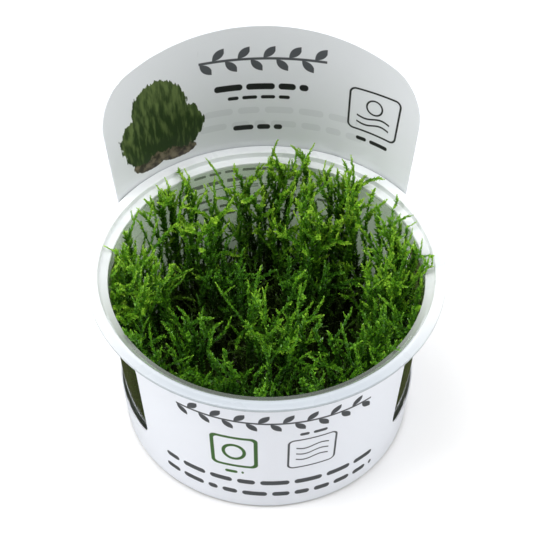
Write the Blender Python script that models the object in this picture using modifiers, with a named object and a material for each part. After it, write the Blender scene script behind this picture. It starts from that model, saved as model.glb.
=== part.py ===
"""Moss in a tissue culture cup: a clear flanged cup with a disc of nutrient gel, clumps of moss growing out of the
gel, and a label sleeve with a tall header that stands up behind the rim.

Metres, +Z up. The origin is the centre of the cup's underside. The label's front faces -Y and its header is at +Y.
"""

import math
import random
from typing import NamedTuple

import bmesh
import bpy
from mathutils import Vector

MM = 0.001
MERGE = 0.01 * MM

# Cup: a thin moulded tub with a flat flange, a ledge for a lid and a stacking shoulder
CUP_HEIGHT = 55.7 * MM
FLANGE_RADIUS = 50.0 * MM
FLANGE_THICKNESS = 0.7 * MM
FLANGE_LIP = 1.1 * MM
COLLAR_RADIUS = 46.9 * MM
COLLAR_DEPTH = 1.8 * MM
LEDGE_RADIUS = 44.3 * MM
SHOULDER_DROP = 8.2 * MM
SHOULDER_STEP = 0.55 * MM
WALL = 0.8 * MM
FOOT_RADIUS = 41.5 * MM
CORNER_RADIUS = 3.4 * MM
EDGE_ROUND = 0.25 * MM
ROUND_STEPS = 48
CUP_CORNER_STEPS = 3

# Label sleeve: one sheet round the cup, with a window on each side and a header behind the rim
SHEET = 0.35 * MM
GAP = 0.35 * MM
SLEEVE_BOTTOM = 0.8 * MM
SLEEVE_TOP_GAP = 0.9 * MM
SLEEVE_TOP = CUP_HEIGHT - FLANGE_THICKNESS - COLLAR_DEPTH - SLEEVE_TOP_GAP
SLEEVE_FOOT_RADIUS = 42.95 * MM
SLEEVE_TOP_RADIUS = 46.1 * MM
HEADER_RIM_RADIUS = FLANGE_RADIUS + SHEET + GAP
HEADER_TOP_CURVE = 79.3 * MM
HEADER_TOP_BACK = 50.2 * MM
HEADER_HALF_WIDTH = 50.1 * MM
HEADER_RISE = 44.8 * MM
HEADER_DROP = 12.9 * MM
HEADER_CORNER = 10.3 * MM
HEADER_BEND = CUP_HEIGHT - FLANGE_LIP
HEADER_HALF_ANGLE = HEADER_HALF_WIDTH / HEADER_RIM_RADIUS
FLARE_HALF_ANGLE = math.radians(76)
BAND_COLUMNS = 34
HEADER_COLUMNS = 16
CORNER_COLUMNS = 4
BAND_ROWS = 3
HEADER_ROWS = 4
WINDOW_FRONT_ANGLE = math.radians(53)
WINDOW_BACK_ANGLE = math.radians(110)
WINDOW_BOTTOM = 14.0 * MM
WINDOW_TOP = 47.7 * MM
WINDOW_CORNER = 4.0 * MM
WINDOW_CORNER_STEPS = 3
WINDOW_CUT_RADII = (40.0 * MM, 55.0 * MM)

# Nutrient gel: a disc with a raised rim where it clings to the wall
GEL_LEVEL = 8.0 * MM
GEL_CLING = 1.0 * MM
GEL_CLING_WIDTH = 2.0 * MM
GEL_CLING_BEND = (0.35, 0.4)
GEL_CORNER_STEPS = 2

# Moss: mounds that stand on the gel, with tapered shoots fused to them
MOSS_FOOT = GEL_LEVEL + GEL_CLING + 0.3 * MM
MOUND_SHARE = 0.74
MOUND_WIDTH = 0.93
MOUND_TAPER = 0.16
MOUND_SQUARENESS = 0.45
MOUND_LUMP = 0.05
MOUND_LUMPS = 3
MOUND_FOOT = 0.6
SHOOT_FOOT_RADIUS = 2.5 * MM
SHOOT_TIP_RADIUS = 0.75 * MM
SHOOT_POINTS = 4
SHOOT_FOOT_OUT = 0.42
SHOOT_TIP_OUT = 0.84
SHOOT_FOOT_RISE = 0.22
SHOOT_TIP_DROP = (0.04, 0.24)
SHOOT_CURVE = 1.3
SHOOT_BEND = 1.3 * MM
SHOOT_TURN = 0.25
SHOOT_SEED = 3
SHOOT_WALL_GAP = 0.6 * MM
MOUND_WALL_GAP = 1.2 * MM


class Clump(NamedTuple):
    """One tuft of moss, in millimetres.

    x and y are its middle, half_x and half_y its half widths, top the height of its highest tip, lean_x and lean_y how
    far its top stands from its foot, and shoots the number of its shoots.
    """

    name: str
    x: float
    y: float
    half_x: float
    half_y: float
    top: float
    lean_x: float
    lean_y: float
    shoots: int


CLUMPS = (
    Clump("moss_back_left", -20.8, 27.2, 12.2, 10.6, 59.0, -0.8, 1.0, 8),
    Clump("moss_back", 0.4, 33.0, 10.4, 8.8, 63.0, 0.3, 1.8, 8),
    Clump("moss_back_right", 21.3, 26.8, 12.0, 10.8, 61.0, 0.8, 1.0, 8),
    Clump("moss_left", -34.0, 3.4, 8.4, 13.6, 57.0, -1.0, 0.3, 7),
    Clump("moss_right", 34.2, 3.8, 8.2, 13.4, 58.0, 1.0, 0.3, 7),
    Clump("moss_front_left", -25.6, -21.8, 12.0, 11.8, 54.5, -1.0, -0.8, 8),
    Clump("moss_front_right", 26.0, -21.8, 11.8, 11.8, 55.0, 1.0, -0.8, 8),
    Clump("moss_front", 0.2, -31.0, 14.4, 10.0, 54.5, 0.0, -1.0, 8),
    Clump("moss_middle_left", -10.8, 10.6, 9.4, 8.6, 51.0, -0.4, 0.5, 6),
    Clump("moss_middle_right", 10.6, 12.6, 8.8, 8.6, 50.0, 0.4, 0.5, 6),
    Clump("moss_centre", 0.8, -8.6, 10.0, 10.0, 55.5, 0.3, 0.5, 6),
)


def clear_scene():
    """Takes out whatever the file held."""
    for item in list(bpy.data.objects):
        bpy.data.objects.remove(item)


def new_collection(name):
    """A collection linked to the scene."""
    collection = bpy.data.collections.new(name)
    bpy.context.scene.collection.children.link(collection)
    return collection


def new_material(name, colour, roughness, alpha=1.0, transmission=0.0, ior=1.5):
    """A Principled material with one colour."""
    material = bpy.data.materials.new(name)
    material.use_nodes = True
    shader = material.node_tree.nodes["Principled BSDF"]
    shader.inputs["Base Color"].default_value = (*colour, 1.0)
    shader.inputs["Roughness"].default_value = roughness
    shader.inputs["Metallic"].default_value = 0.0
    shader.inputs["Alpha"].default_value = alpha
    shader.inputs["Transmission Weight"].default_value = transmission
    shader.inputs["IOR"].default_value = ior
    material.diffuse_color = (*colour, alpha)
    return material


def add_object(name, data, collection, material=None):
    """An object for this mesh or curve, in its collection."""
    item = bpy.data.objects.new(name, data)
    collection.objects.link(item)
    if material is not None:
        data.materials.append(material)
    return item


def hide_as_guide(item):
    """Cutters and shoots that were fused stay as wires that aren't part of the object."""
    item.hide_render = True
    item.display_type = "WIRE"


def shade_round(mesh, angle=math.radians(35)):
    """Smooth shading, with edges over the angle left sharp."""
    mesh.shade_smooth()
    mesh.set_sharp_from_angle(angle=angle)


def arc(centre_r, centre_z, radius, start_deg, end_deg, count):
    """Points of an arc in the profile's plane, as (radius from the axis, height)."""
    points = []
    for i in range(count + 1):
        angle = math.radians(start_deg + (end_deg - start_deg) * i / count)
        points.append((centre_r + radius * math.cos(angle), centre_z + radius * math.sin(angle)))
    return points


def turned(name, profile, collection, material, steps=ROUND_STEPS):
    """A solid of revolution. The profile runs down its outer side at +X, and takes no edge along the axis."""
    mesh = bpy.data.meshes.new(name)
    draft = bmesh.new()
    points = [draft.verts.new((r, 0.0, z)) for r, z in profile]
    for a, b in zip(points, points[1:] + points[:1]):
        if a.co.x > 0.0 or b.co.x > 0.0:
            draft.edges.new((a, b))
    draft.to_mesh(mesh)
    draft.free()
    item = add_object(name, mesh, collection, material)
    screw = item.modifiers.new("turn", "SCREW")
    screw.steps = steps
    screw.render_steps = steps
    screw.use_merge_vertices = True
    screw.merge_threshold = MERGE
    screw.use_smooth_shade = True
    return item


def cup_profile():
    """The cup's section: down the outside from the flange to the base, then up the inside to the flange."""
    top = CUP_HEIGHT
    under = top - FLANGE_THICKNESS
    ledge = top - COLLAR_DEPTH
    shoulder = top - SHOULDER_DROP
    collar_out = COLLAR_RADIUS + WALL
    upper_out = LEDGE_RADIUS + WALL
    lower_out = upper_out - SHOULDER_STEP
    foot_out = FOOT_RADIUS + WALL
    corner = CORNER_RADIUS
    outside = [
        (COLLAR_RADIUS, top),
        (FLANGE_RADIUS - EDGE_ROUND, top),
        (FLANGE_RADIUS, top - EDGE_ROUND),
        (FLANGE_RADIUS, top - FLANGE_LIP),
        (FLANGE_RADIUS - WALL, under),
        (collar_out, under),
        (collar_out, ledge - WALL),
        (upper_out, ledge - WALL),
        (upper_out - WALL / 4, shoulder),
        (lower_out - WALL / 4, shoulder - SHOULDER_STEP),
    ]
    outside += arc(foot_out - corner, corner, corner, 0, -90, CUP_CORNER_STEPS)
    outside.append((0.0, 0.0))
    inner_corner = corner - WALL
    inside = [(0.0, WALL)]
    inside += arc(FOOT_RADIUS - inner_corner, corner, inner_corner, -90, 0, CUP_CORNER_STEPS)
    inside += [
        (LEDGE_RADIUS - SHOULDER_STEP - WALL / 4, shoulder - SHOULDER_STEP),
        (LEDGE_RADIUS - WALL / 4, shoulder),
        (LEDGE_RADIUS, ledge),
        (COLLAR_RADIUS, ledge),
    ]
    return outside + inside


def inner_radius(height):
    """The radius of the cup's inner wall at a height between its corner and its shoulder."""
    low = CORNER_RADIUS
    high = CUP_HEIGHT - SHOULDER_DROP - SHOULDER_STEP
    share = min(max((height - low) / (high - low), 0.0), 1.0)
    at_top = LEDGE_RADIUS - SHOULDER_STEP - WALL / 4
    return FOOT_RADIUS + (at_top - FOOT_RADIUS) * share


def kept_inside(point, gap):
    """A point of the moss, moved in where it would come nearer than the gap to the cup's wall."""
    out = math.hypot(point.x, point.y)
    limit = inner_radius(point.z) - gap
    if out <= limit:
        return point
    return Vector((point.x * limit / out, point.y * limit / out, point.z))


def make_cup(parts):
    """The clear cup."""
    clear = new_material("clear_plastic", (0.93, 0.96, 0.95), 0.08, alpha=0.35, transmission=1.0, ior=1.49)
    return turned("cup", cup_profile(), parts, clear)


def make_gel(parts):
    """The gel's disc, a gap inside the cup, with a rim where it clings to the wall."""
    gel = new_material("nutrient_gel", (0.62, 0.60, 0.42), 0.12, alpha=0.6, transmission=0.6, ior=1.34)
    floor = WALL + GAP
    wall_low = inner_radius(CORNER_RADIUS) - GAP
    wall_high = inner_radius(GEL_LEVEL) - GAP
    inner_corner = CORNER_RADIUS - WALL - GAP
    bend_width, bend_height = GEL_CLING_BEND
    profile = [
        (0.0, GEL_LEVEL),
        (wall_high - GEL_CLING_WIDTH, GEL_LEVEL),
        (wall_high - GEL_CLING_WIDTH * bend_width, GEL_LEVEL + GEL_CLING * bend_height),
        (wall_high, GEL_LEVEL + GEL_CLING),
    ]
    profile += arc(wall_low - inner_corner, floor + inner_corner, inner_corner, 0, -90, GEL_CORNER_STEPS)
    profile.append((0.0, floor))
    return turned("nutrient_gel", profile, parts, gel)


def smooth_share(value, start, end):
    """0 at start and 1 at end, with level ends."""
    share = min(max((value - start) / (end - start), 0.0), 1.0)
    return share * share * (3.0 - 2.0 * share)


def cone_radius(height):
    """The sleeve's radius where it lies on the cup's wall."""
    share = (height - SLEEVE_BOTTOM) / (SLEEVE_TOP - SLEEVE_BOTTOM)
    return SLEEVE_FOOT_RADIUS + (SLEEVE_TOP_RADIUS - SLEEVE_FOOT_RADIUS) * share


def leaning_radius(height):
    """The sleeve's radius at the back, where it leans out from the cup's wall to pass the flange."""
    share = (height - SLEEVE_BOTTOM) / (HEADER_BEND - SLEEVE_BOTTOM)
    return SLEEVE_FOOT_RADIUS + (HEADER_RIM_RADIUS - SLEEVE_FOOT_RADIUS) * share


def header_point(angle, height):
    """A point of the header, which is as round as the flange at its foot and springs back flatter towards its top."""
    share = (height - HEADER_BEND) / (CUP_HEIGHT + HEADER_RISE - HEADER_BEND)
    curvature = (1.0 - share) / HEADER_RIM_RADIUS + share / HEADER_TOP_CURVE
    back = HEADER_RIM_RADIUS + (HEADER_TOP_BACK - HEADER_RIM_RADIUS) * share
    turn = angle * HEADER_RIM_RADIUS * curvature
    return Vector((math.sin(turn) / curvature, back - (1.0 - math.cos(turn)) / curvature, height))


def sleeve_point(angle, height):
    """A point of the sheet's outer face. The angle is measured from the back, +Y, towards +X."""
    if height > HEADER_BEND:
        return header_point(angle, height)
    flare = smooth_share(abs(angle), FLARE_HALF_ANGLE, HEADER_HALF_ANGLE)
    radius = cone_radius(height) * (1.0 - flare) + leaning_radius(height) * flare
    return Vector((radius * math.sin(angle), radius * math.cos(angle), height))


def header_edge(step):
    """A column of the header's right half, as (angle from the back, height of the top edge)."""
    arch_half = HEADER_HALF_WIDTH - HEADER_CORNER
    arch_columns = HEADER_COLUMNS // 2
    crown = CUP_HEIGHT + HEADER_RISE
    slope = 2.0 * HEADER_DROP * arch_half / HEADER_HALF_WIDTH**2
    if step <= arch_columns:
        across = arch_half * step / arch_columns
        top = crown - HEADER_DROP * (across / HEADER_HALF_WIDTH) ** 2
    else:
        turn = math.pi / 2 * (step - arch_columns) / CORNER_COLUMNS
        across = arch_half + HEADER_CORNER * math.sin(turn)
        arch_end = crown - HEADER_DROP * (arch_half / HEADER_HALF_WIDTH) ** 2
        fall = 1.0 - math.cos(turn) + slope * math.sin(turn)
        top = arch_end - HEADER_CORNER * fall
    return across / HEADER_RIM_RADIUS, top


def sleeve_sheet():
    """The sleeve's outer face: a band round the cup, and the header above it at the back."""
    half = HEADER_COLUMNS // 2 + CORNER_COLUMNS
    header = [header_edge(abs(step)) for step in range(-half, half + 1)]
    angles = [math.copysign(angle, step) for (angle, _), step in zip(header, range(-half, half + 1))]
    tops = [top for _, top in header]
    rest = 2.0 * math.pi - 2.0 * HEADER_HALF_ANGLE
    others = [HEADER_HALF_ANGLE + rest * i / BAND_COLUMNS for i in range(1, BAND_COLUMNS)]
    draft = bmesh.new()
    band = []
    for angle in angles + others:
        from_back = angle if angle <= math.pi else angle - 2.0 * math.pi
        heights = [SLEEVE_BOTTOM + (SLEEVE_TOP - SLEEVE_BOTTOM) * i / BAND_ROWS for i in range(BAND_ROWS + 1)]
        band.append([draft.verts.new(sleeve_point(from_back, height)) for height in heights])
    for i, column in enumerate(band):
        following = band[(i + 1) % len(band)]
        for row in range(BAND_ROWS):
            draft.faces.new((column[row], column[row + 1], following[row + 1], following[row]))
    columns = []
    for column, angle, top in zip(band, angles, tops):
        heights = [HEADER_BEND + (top - HEADER_BEND) * i / HEADER_ROWS for i in range(HEADER_ROWS + 1)]
        columns.append([column[-1]] + [draft.verts.new(sleeve_point(angle, height)) for height in heights])
    for column, following in zip(columns, columns[1:]):
        for row in range(len(column) - 1):
            draft.faces.new((column[row], column[row + 1], following[row + 1], following[row]))
    bmesh.ops.recalc_face_normals(draft, faces=draft.faces)
    return draft


def window_outline():
    """The window's rounded outline, as (angle from the front, height)."""
    radius = (WINDOW_CUT_RADII[0] + WINDOW_CUT_RADII[1]) / 2.0
    corner_angle = WINDOW_CORNER / radius
    corners = (
        (WINDOW_BACK_ANGLE - corner_angle, WINDOW_TOP - WINDOW_CORNER, 0),
        (WINDOW_FRONT_ANGLE + corner_angle, WINDOW_TOP - WINDOW_CORNER, 90),
        (WINDOW_FRONT_ANGLE + corner_angle, WINDOW_BOTTOM + WINDOW_CORNER, 180),
        (WINDOW_BACK_ANGLE - corner_angle, WINDOW_BOTTOM + WINDOW_CORNER, 270),
    )
    outline = []
    for angle, height, start in corners:
        for i in range(WINDOW_CORNER_STEPS + 1):
            turn = math.radians(start + 90.0 * i / WINDOW_CORNER_STEPS)
            across = angle + corner_angle * math.cos(turn)
            outline.append((across, height + WINDOW_CORNER * math.sin(turn)))
    return outline


def make_window_cutter(side, cutters):
    """A block in the window's outline that runs outward through the sheet on one side."""
    outline = window_outline()
    draft = bmesh.new()
    rings = []
    for radius in WINDOW_CUT_RADII:
        ring = []
        for angle, height in outline:
            point = Vector((side * radius * math.sin(angle), -radius * math.cos(angle), height))
            ring.append(draft.verts.new(point))
        rings.append(ring)
    inner, outer = rings
    draft.faces.new(inner)
    draft.faces.new(outer)
    for i in range(len(outline)):
        j = (i + 1) % len(outline)
        draft.faces.new((inner[i], inner[j], outer[j], outer[i]))
    bmesh.ops.recalc_face_normals(draft, faces=draft.faces)
    mesh = bpy.data.meshes.new("window_cut")
    draft.to_mesh(mesh)
    draft.free()
    side_name = "right" if side > 0 else "left"
    cutter = add_object(f"window_cut_{side_name}", mesh, cutters)
    hide_as_guide(cutter)
    return cutter


def make_sleeve(parts, cutters):
    """The white printed sheet with its two windows and its header."""
    white = new_material("label_plastic", (0.84, 0.86, 0.88), 0.38)
    mesh = bpy.data.meshes.new("label_sleeve")
    draft = sleeve_sheet()
    draft.to_mesh(mesh)
    draft.free()
    shade_round(mesh)
    sleeve = add_object("label_sleeve", mesh, parts, white)
    thick = sleeve.modifiers.new("thickness", "SOLIDIFY")
    thick.thickness = SHEET
    thick.offset = -1.0
    thick.use_even_offset = True
    for side in (-1, 1):
        cut = sleeve.modifiers.new("window", "BOOLEAN")
        cut.operation = "DIFFERENCE"
        cut.solver = "EXACT"
        cut.object = make_window_cutter(side, cutters)
    return sleeve


def make_mound(clump, parts, material):
    """The body of one clump: a lump with a flat foot on the gel, narrower towards its top."""
    tall = (clump.top * MM - MOSS_FOOT) * MOUND_SHARE
    draft = bmesh.new()
    bmesh.ops.create_icosphere(draft, subdivisions=2, radius=1.0)
    for point in draft.verts:
        across, along, up = point.co
        share = (max(up, -MOUND_FOOT) + MOUND_FOOT) / (1.0 + MOUND_FOOT)
        lump = 1.0 + MOUND_LUMP * math.sin(MOUND_LUMPS * math.atan2(along, across) + clump.x)
        square = max(math.hypot(across, along), MM) ** -MOUND_SQUARENESS
        width = MOUND_WIDTH * (1.0 - MOUND_TAPER * share) * lump * square
        x = (clump.x + clump.lean_x * share + across * clump.half_x * width) * MM
        y = (clump.y + clump.lean_y * share + along * clump.half_y * width) * MM
        point.co = kept_inside(Vector((x, y, MOSS_FOOT + tall * share)), MOUND_WALL_GAP)
    mesh = bpy.data.meshes.new(clump.name)
    draft.to_mesh(mesh)
    draft.free()
    return add_object(clump.name, mesh, parts, material)


def shoot_path(clump, index, chance):
    """The line of one shoot, from inside the mound to its tip, as points with the shoot's radius there.

    The last shoot stands in the middle and is the tallest. The others lean out in a ring round it.
    """
    outer_shoots = clump.shoots - 1
    turn = 2.0 * math.pi * index / outer_shoots + chance.uniform(-SHOOT_TURN, SHOOT_TURN)
    out = 0.0 if index == outer_shoots else 1.0
    foot_out = SHOOT_FOOT_OUT * out
    tip_out = SHOOT_TIP_OUT * out
    tall = clump.top * MM - MOSS_FOOT
    tip_height = clump.top * MM - (chance.uniform(*SHOOT_TIP_DROP) * tall if out else 0.0)
    foot_height = MOSS_FOOT + SHOOT_FOOT_RISE * tall
    bend = chance.uniform(-SHOOT_BEND, SHOOT_BEND)
    points = []
    for i in range(SHOOT_POINTS):
        share = i / (SHOOT_POINTS - 1)
        spread = foot_out + (tip_out - foot_out) * share**SHOOT_CURVE
        side = bend * math.sin(math.pi * share)
        x = (clump.x + clump.lean_x * share + clump.half_x * spread * math.cos(turn)) * MM
        y = (clump.y + clump.lean_y * share + clump.half_y * spread * math.sin(turn)) * MM
        z = foot_height + (tip_height - foot_height) * share
        radius = SHOOT_FOOT_RADIUS + (SHOOT_TIP_RADIUS - SHOOT_FOOT_RADIUS) * share
        place = Vector((x - side * math.sin(turn), y + side * math.cos(turn), z))
        points.append((kept_inside(place, SHOOT_WALL_GAP + radius), radius))
    return points


def make_shoot(clump, index, chance, shoots):
    """One tapered shoot, made a closed mesh so that it can be fused to its mound."""
    curve = bpy.data.curves.new("shoot", "CURVE")
    curve.dimensions = "3D"
    curve.bevel_depth = SHOOT_FOOT_RADIUS
    curve.bevel_resolution = 1
    curve.use_fill_caps = True
    path = shoot_path(clump, index, chance)
    line = curve.splines.new("POLY")
    line.points.add(len(path) - 1)
    for point, (place, radius) in zip(line.points, path):
        point.co = (*place, 1.0)
        point.radius = radius / SHOOT_FOOT_RADIUS
    guide = add_object("shoot_line", curve, shoots)
    bpy.context.view_layer.update()
    mesh = bpy.data.meshes.new_from_object(guide.evaluated_get(bpy.context.evaluated_depsgraph_get()))
    bpy.data.objects.remove(guide)
    draft = bmesh.new()
    draft.from_mesh(mesh)
    bmesh.ops.remove_doubles(draft, verts=draft.verts, dist=MERGE)
    bmesh.ops.recalc_face_normals(draft, faces=draft.faces)
    draft.to_mesh(mesh)
    draft.free()
    shoot = add_object(f"{clump.name}_shoot_{index + 1}", mesh, shoots)
    hide_as_guide(shoot)
    return shoot


def grow_clump(clump, parts, material, chance):
    """One clump's mound, and the collection of the shoots that stand on it."""
    mound = make_mound(clump, parts, material)
    shoots = new_collection(f"{clump.name}_shoots")
    for index in range(clump.shoots):
        make_shoot(clump, index, chance, shoots)
    return mound, shoots


def fuse(mound, shoots):
    """Joins a clump's shoots to its mound as one body."""
    join = mound.modifiers.new("fuse shoots", "BOOLEAN")
    join.operation = "UNION"
    join.solver = "EXACT"
    join.operand_type = "COLLECTION"
    join.collection = shoots


def main():
    """Builds the moss, then the cup, its gel and its label sleeve."""
    clear_scene()
    parts = new_collection("moss_culture_cup")
    cutters = new_collection("cutters")
    green = new_material("moss", (0.10, 0.24, 0.03), 0.6)
    chance = random.Random(SHOOT_SEED)
    clumps = [grow_clump(clump, parts, green, chance) for clump in CLUMPS]
    for mound, shoots in clumps:
        fuse(mound, shoots)
    make_cup(parts)
    make_gel(parts)
    make_sleeve(parts, cutters)


main()
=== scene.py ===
"""Dresses a moss culture cup: the clear cup, the gel, the printed label sleeve and the leafy moss tufts.

Everything is in metres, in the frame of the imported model: the origin is the centre of the cup's underside,
the label's front faces -Y and its header stands at +Y.
"""

import logging
import math
import random
from dataclasses import dataclass, field
from enum import Enum

import bmesh
import bpy
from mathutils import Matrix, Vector

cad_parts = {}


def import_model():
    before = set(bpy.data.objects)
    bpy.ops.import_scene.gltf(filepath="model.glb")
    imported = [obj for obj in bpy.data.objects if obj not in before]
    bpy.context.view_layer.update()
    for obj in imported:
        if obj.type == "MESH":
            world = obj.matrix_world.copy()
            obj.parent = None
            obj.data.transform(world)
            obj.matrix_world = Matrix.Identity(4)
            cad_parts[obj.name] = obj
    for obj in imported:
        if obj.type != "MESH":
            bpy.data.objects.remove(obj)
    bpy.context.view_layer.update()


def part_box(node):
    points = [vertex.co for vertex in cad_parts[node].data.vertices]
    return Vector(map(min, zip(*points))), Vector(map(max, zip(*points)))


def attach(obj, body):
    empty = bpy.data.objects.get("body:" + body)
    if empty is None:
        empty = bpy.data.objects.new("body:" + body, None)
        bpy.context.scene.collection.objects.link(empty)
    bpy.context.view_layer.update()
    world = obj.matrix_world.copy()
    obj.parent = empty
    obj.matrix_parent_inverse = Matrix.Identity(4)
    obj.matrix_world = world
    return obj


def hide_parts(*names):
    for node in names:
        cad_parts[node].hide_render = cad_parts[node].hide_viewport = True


LOG = logging.getLogger("moss_culture_cup")

MM = 0.001
BODY = "root"
SHARP = math.radians(40)
FRONT_LEAN = 0.03

Colour = tuple[float, float, float]
Pair = tuple[float, float]
Place = tuple[float, float, float]
Profile = list[Pair]


class Num:
    """A number socket of a node tree that Python's operators work on."""

    def __init__(self, bench: "Bench", socket: bpy.types.NodeSocket) -> None:
        """Wraps a socket of the bench's tree."""
        self.bench = bench
        self.socket = socket

    def __add__(self, other: "Num | float") -> "Num":
        """Sum."""
        return self.bench.number("ADD", self, other)

    __radd__ = __add__

    def __sub__(self, other: "Num | float") -> "Num":
        """Difference."""
        return self.bench.number("SUBTRACT", self, other)

    def __rsub__(self, other: float) -> "Num":
        """Difference from a plain number."""
        return self.bench.number("SUBTRACT", other, self)

    def __mul__(self, other: "Num | float") -> "Num":
        """Product."""
        return self.bench.number("MULTIPLY", self, other)

    __rmul__ = __mul__

    def __truediv__(self, other: "Num | float") -> "Num":
        """Quotient."""
        return self.bench.number("DIVIDE", self, other)

    def __abs__(self) -> "Num":
        """Size without sign."""
        return self.bench.number("ABSOLUTE", self)

    def at_least(self, other: "Num | float") -> "Num":
        """The larger of the two."""
        return self.bench.number("MAXIMUM", self, other)

    def at_most(self, other: "Num | float") -> "Num":
        """The smaller of the two."""
        return self.bench.number("MINIMUM", self, other)

    def root(self) -> "Num":
        """Square root."""
        return self.bench.number("SQRT", self)

    def wave(self) -> "Num":
        """Sine."""
        return self.bench.number("SINE", self)

    def rise(self, low: float, high: float) -> "Num":
        """0 below low, 1 above high, with a smooth step between them."""
        kind, sockets = {"interpolation_type": "SMOOTHSTEP"}, {0: self, 1: low, 2: high}
        return Num(self.bench, self.bench.node("ShaderNodeMapRange", kind, sockets).outputs[0])


class Bench:
    """Makes the nodes of one shader or geometry tree."""

    def __init__(self, tree: bpy.types.NodeTree) -> None:
        """Takes the tree that the nodes go into."""
        self.tree = tree

    def feed(self, socket: bpy.types.NodeSocket, value: object) -> None:
        """Links a socket or a Num to an input, or sets a plain value on it.

        Args:
            socket: the input.
            value: a Num, an output socket or a plain value.
        """
        if isinstance(value, Num):
            value = value.socket
        if isinstance(value, bpy.types.NodeSocket):
            self.tree.links.new(value, socket)
        else:
            socket.default_value = value

    def node(self, kind: str, settings: dict | None = None, sockets: dict | None = None) -> bpy.types.Node:
        """Makes one node.

        Args:
            kind: the node's type.
            settings: the node's own settings, with a ramp's stops as "stops".
            sockets: values or links by the input's name or number.

        Returns:
            The node.
        """
        node = self.tree.nodes.new(kind)
        for name, value in (settings or {}).items():
            if name == "stops":
                self.set_stops(node.color_ramp, value)
            else:
                setattr(node, name, value)
        self.wire(node, sockets or {})
        return node

    def wire(self, node: bpy.types.Node, sockets: dict) -> None:
        """Feeds several inputs of one node, each by its name or number."""
        for key, value in sockets.items():
            self.feed(node.inputs[key], value)

    @staticmethod
    def set_stops(ramp: bpy.types.ColorRamp, stops: list[tuple[float, Colour]]) -> None:
        """Gives a colour ramp its stops.

        Args:
            ramp: the ramp.
            stops: the place and the colour of each stop.
        """
        while len(ramp.elements) < len(stops):
            ramp.elements.new(1.0)
        for element, (place, colour) in zip(ramp.elements, stops):
            element.position = place
            element.color = (*colour, 1.0)

    def number(self, operation: str, *values: "Num | float") -> Num:
        """One Math node on these values."""
        node = self.node("ShaderNodeMath", {"operation": operation}, dict(enumerate(values)))
        return Num(self, node.outputs[0])

    def mix(self, factor: "Num | float", first: object, second: object) -> bpy.types.NodeSocket:
        """Mixes two colours, where 0 gives the first and 1 the second."""
        sockets = {0: factor, 6: self.as_colour(first), 7: self.as_colour(second)}
        return self.node("ShaderNodeMix", {"data_type": "RGBA"}, sockets).outputs[2]

    @staticmethod
    def as_colour(value: object) -> object:
        """A plain colour with its alpha, or a socket as it is."""
        return (*value, 1.0) if isinstance(value, tuple) else value

    def place(self) -> tuple[Num, Num, Num]:
        """The surface point in object coordinates.

        Returns:
            Its three coordinates, in millimetres.
        """
        spot = self.node("ShaderNodeTexCoord").outputs["Object"]
        parts = self.node("ShaderNodeSeparateXYZ", sockets={0: spot})
        return tuple(Num(self, parts.outputs[i]) * 1000.0 for i in range(3))

    def noise(self, per_metre: float, detail: float = 2.0, stretch: Place = (1.0, 1.0, 1.0)) -> Num:
        """A noise of the object's own coordinates.

        Args:
            per_metre: the noise's scale.
            detail: its octaves.
            stretch: how much the coordinates are multiplied along each axis.

        Returns:
            The noise, about 0.5 on average.
        """
        spot = self.node("ShaderNodeTexCoord").outputs["Object"]
        turned = self.node("ShaderNodeMapping", sockets={"Vector": spot, "Scale": stretch}).outputs[0]
        sockets = {"Vector": turned, "Scale": per_metre, "Detail": detail}
        return Num(self, self.node("ShaderNodeTexNoise", sockets=sockets).outputs["Fac"])

    def bump(self, height: Num, strength: float, distance: float) -> bpy.types.NodeSocket:
        """A bumped normal for this height."""
        sockets = {"Strength": strength, "Distance": distance, "Height": height}
        return self.node("ShaderNodeBump", sockets=sockets).outputs[0]


def new_material(name: str) -> tuple[bpy.types.Material, Bench, bpy.types.Node]:
    """A new material with nodes.

    Args:
        name: its name.

    Returns:
        The material, its bench and its Principled shader.
    """
    material = bpy.data.materials.new(name)
    material.use_nodes = True
    shader = material.node_tree.nodes["Principled BSDF"]
    return material, Bench(material.node_tree), shader


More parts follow.
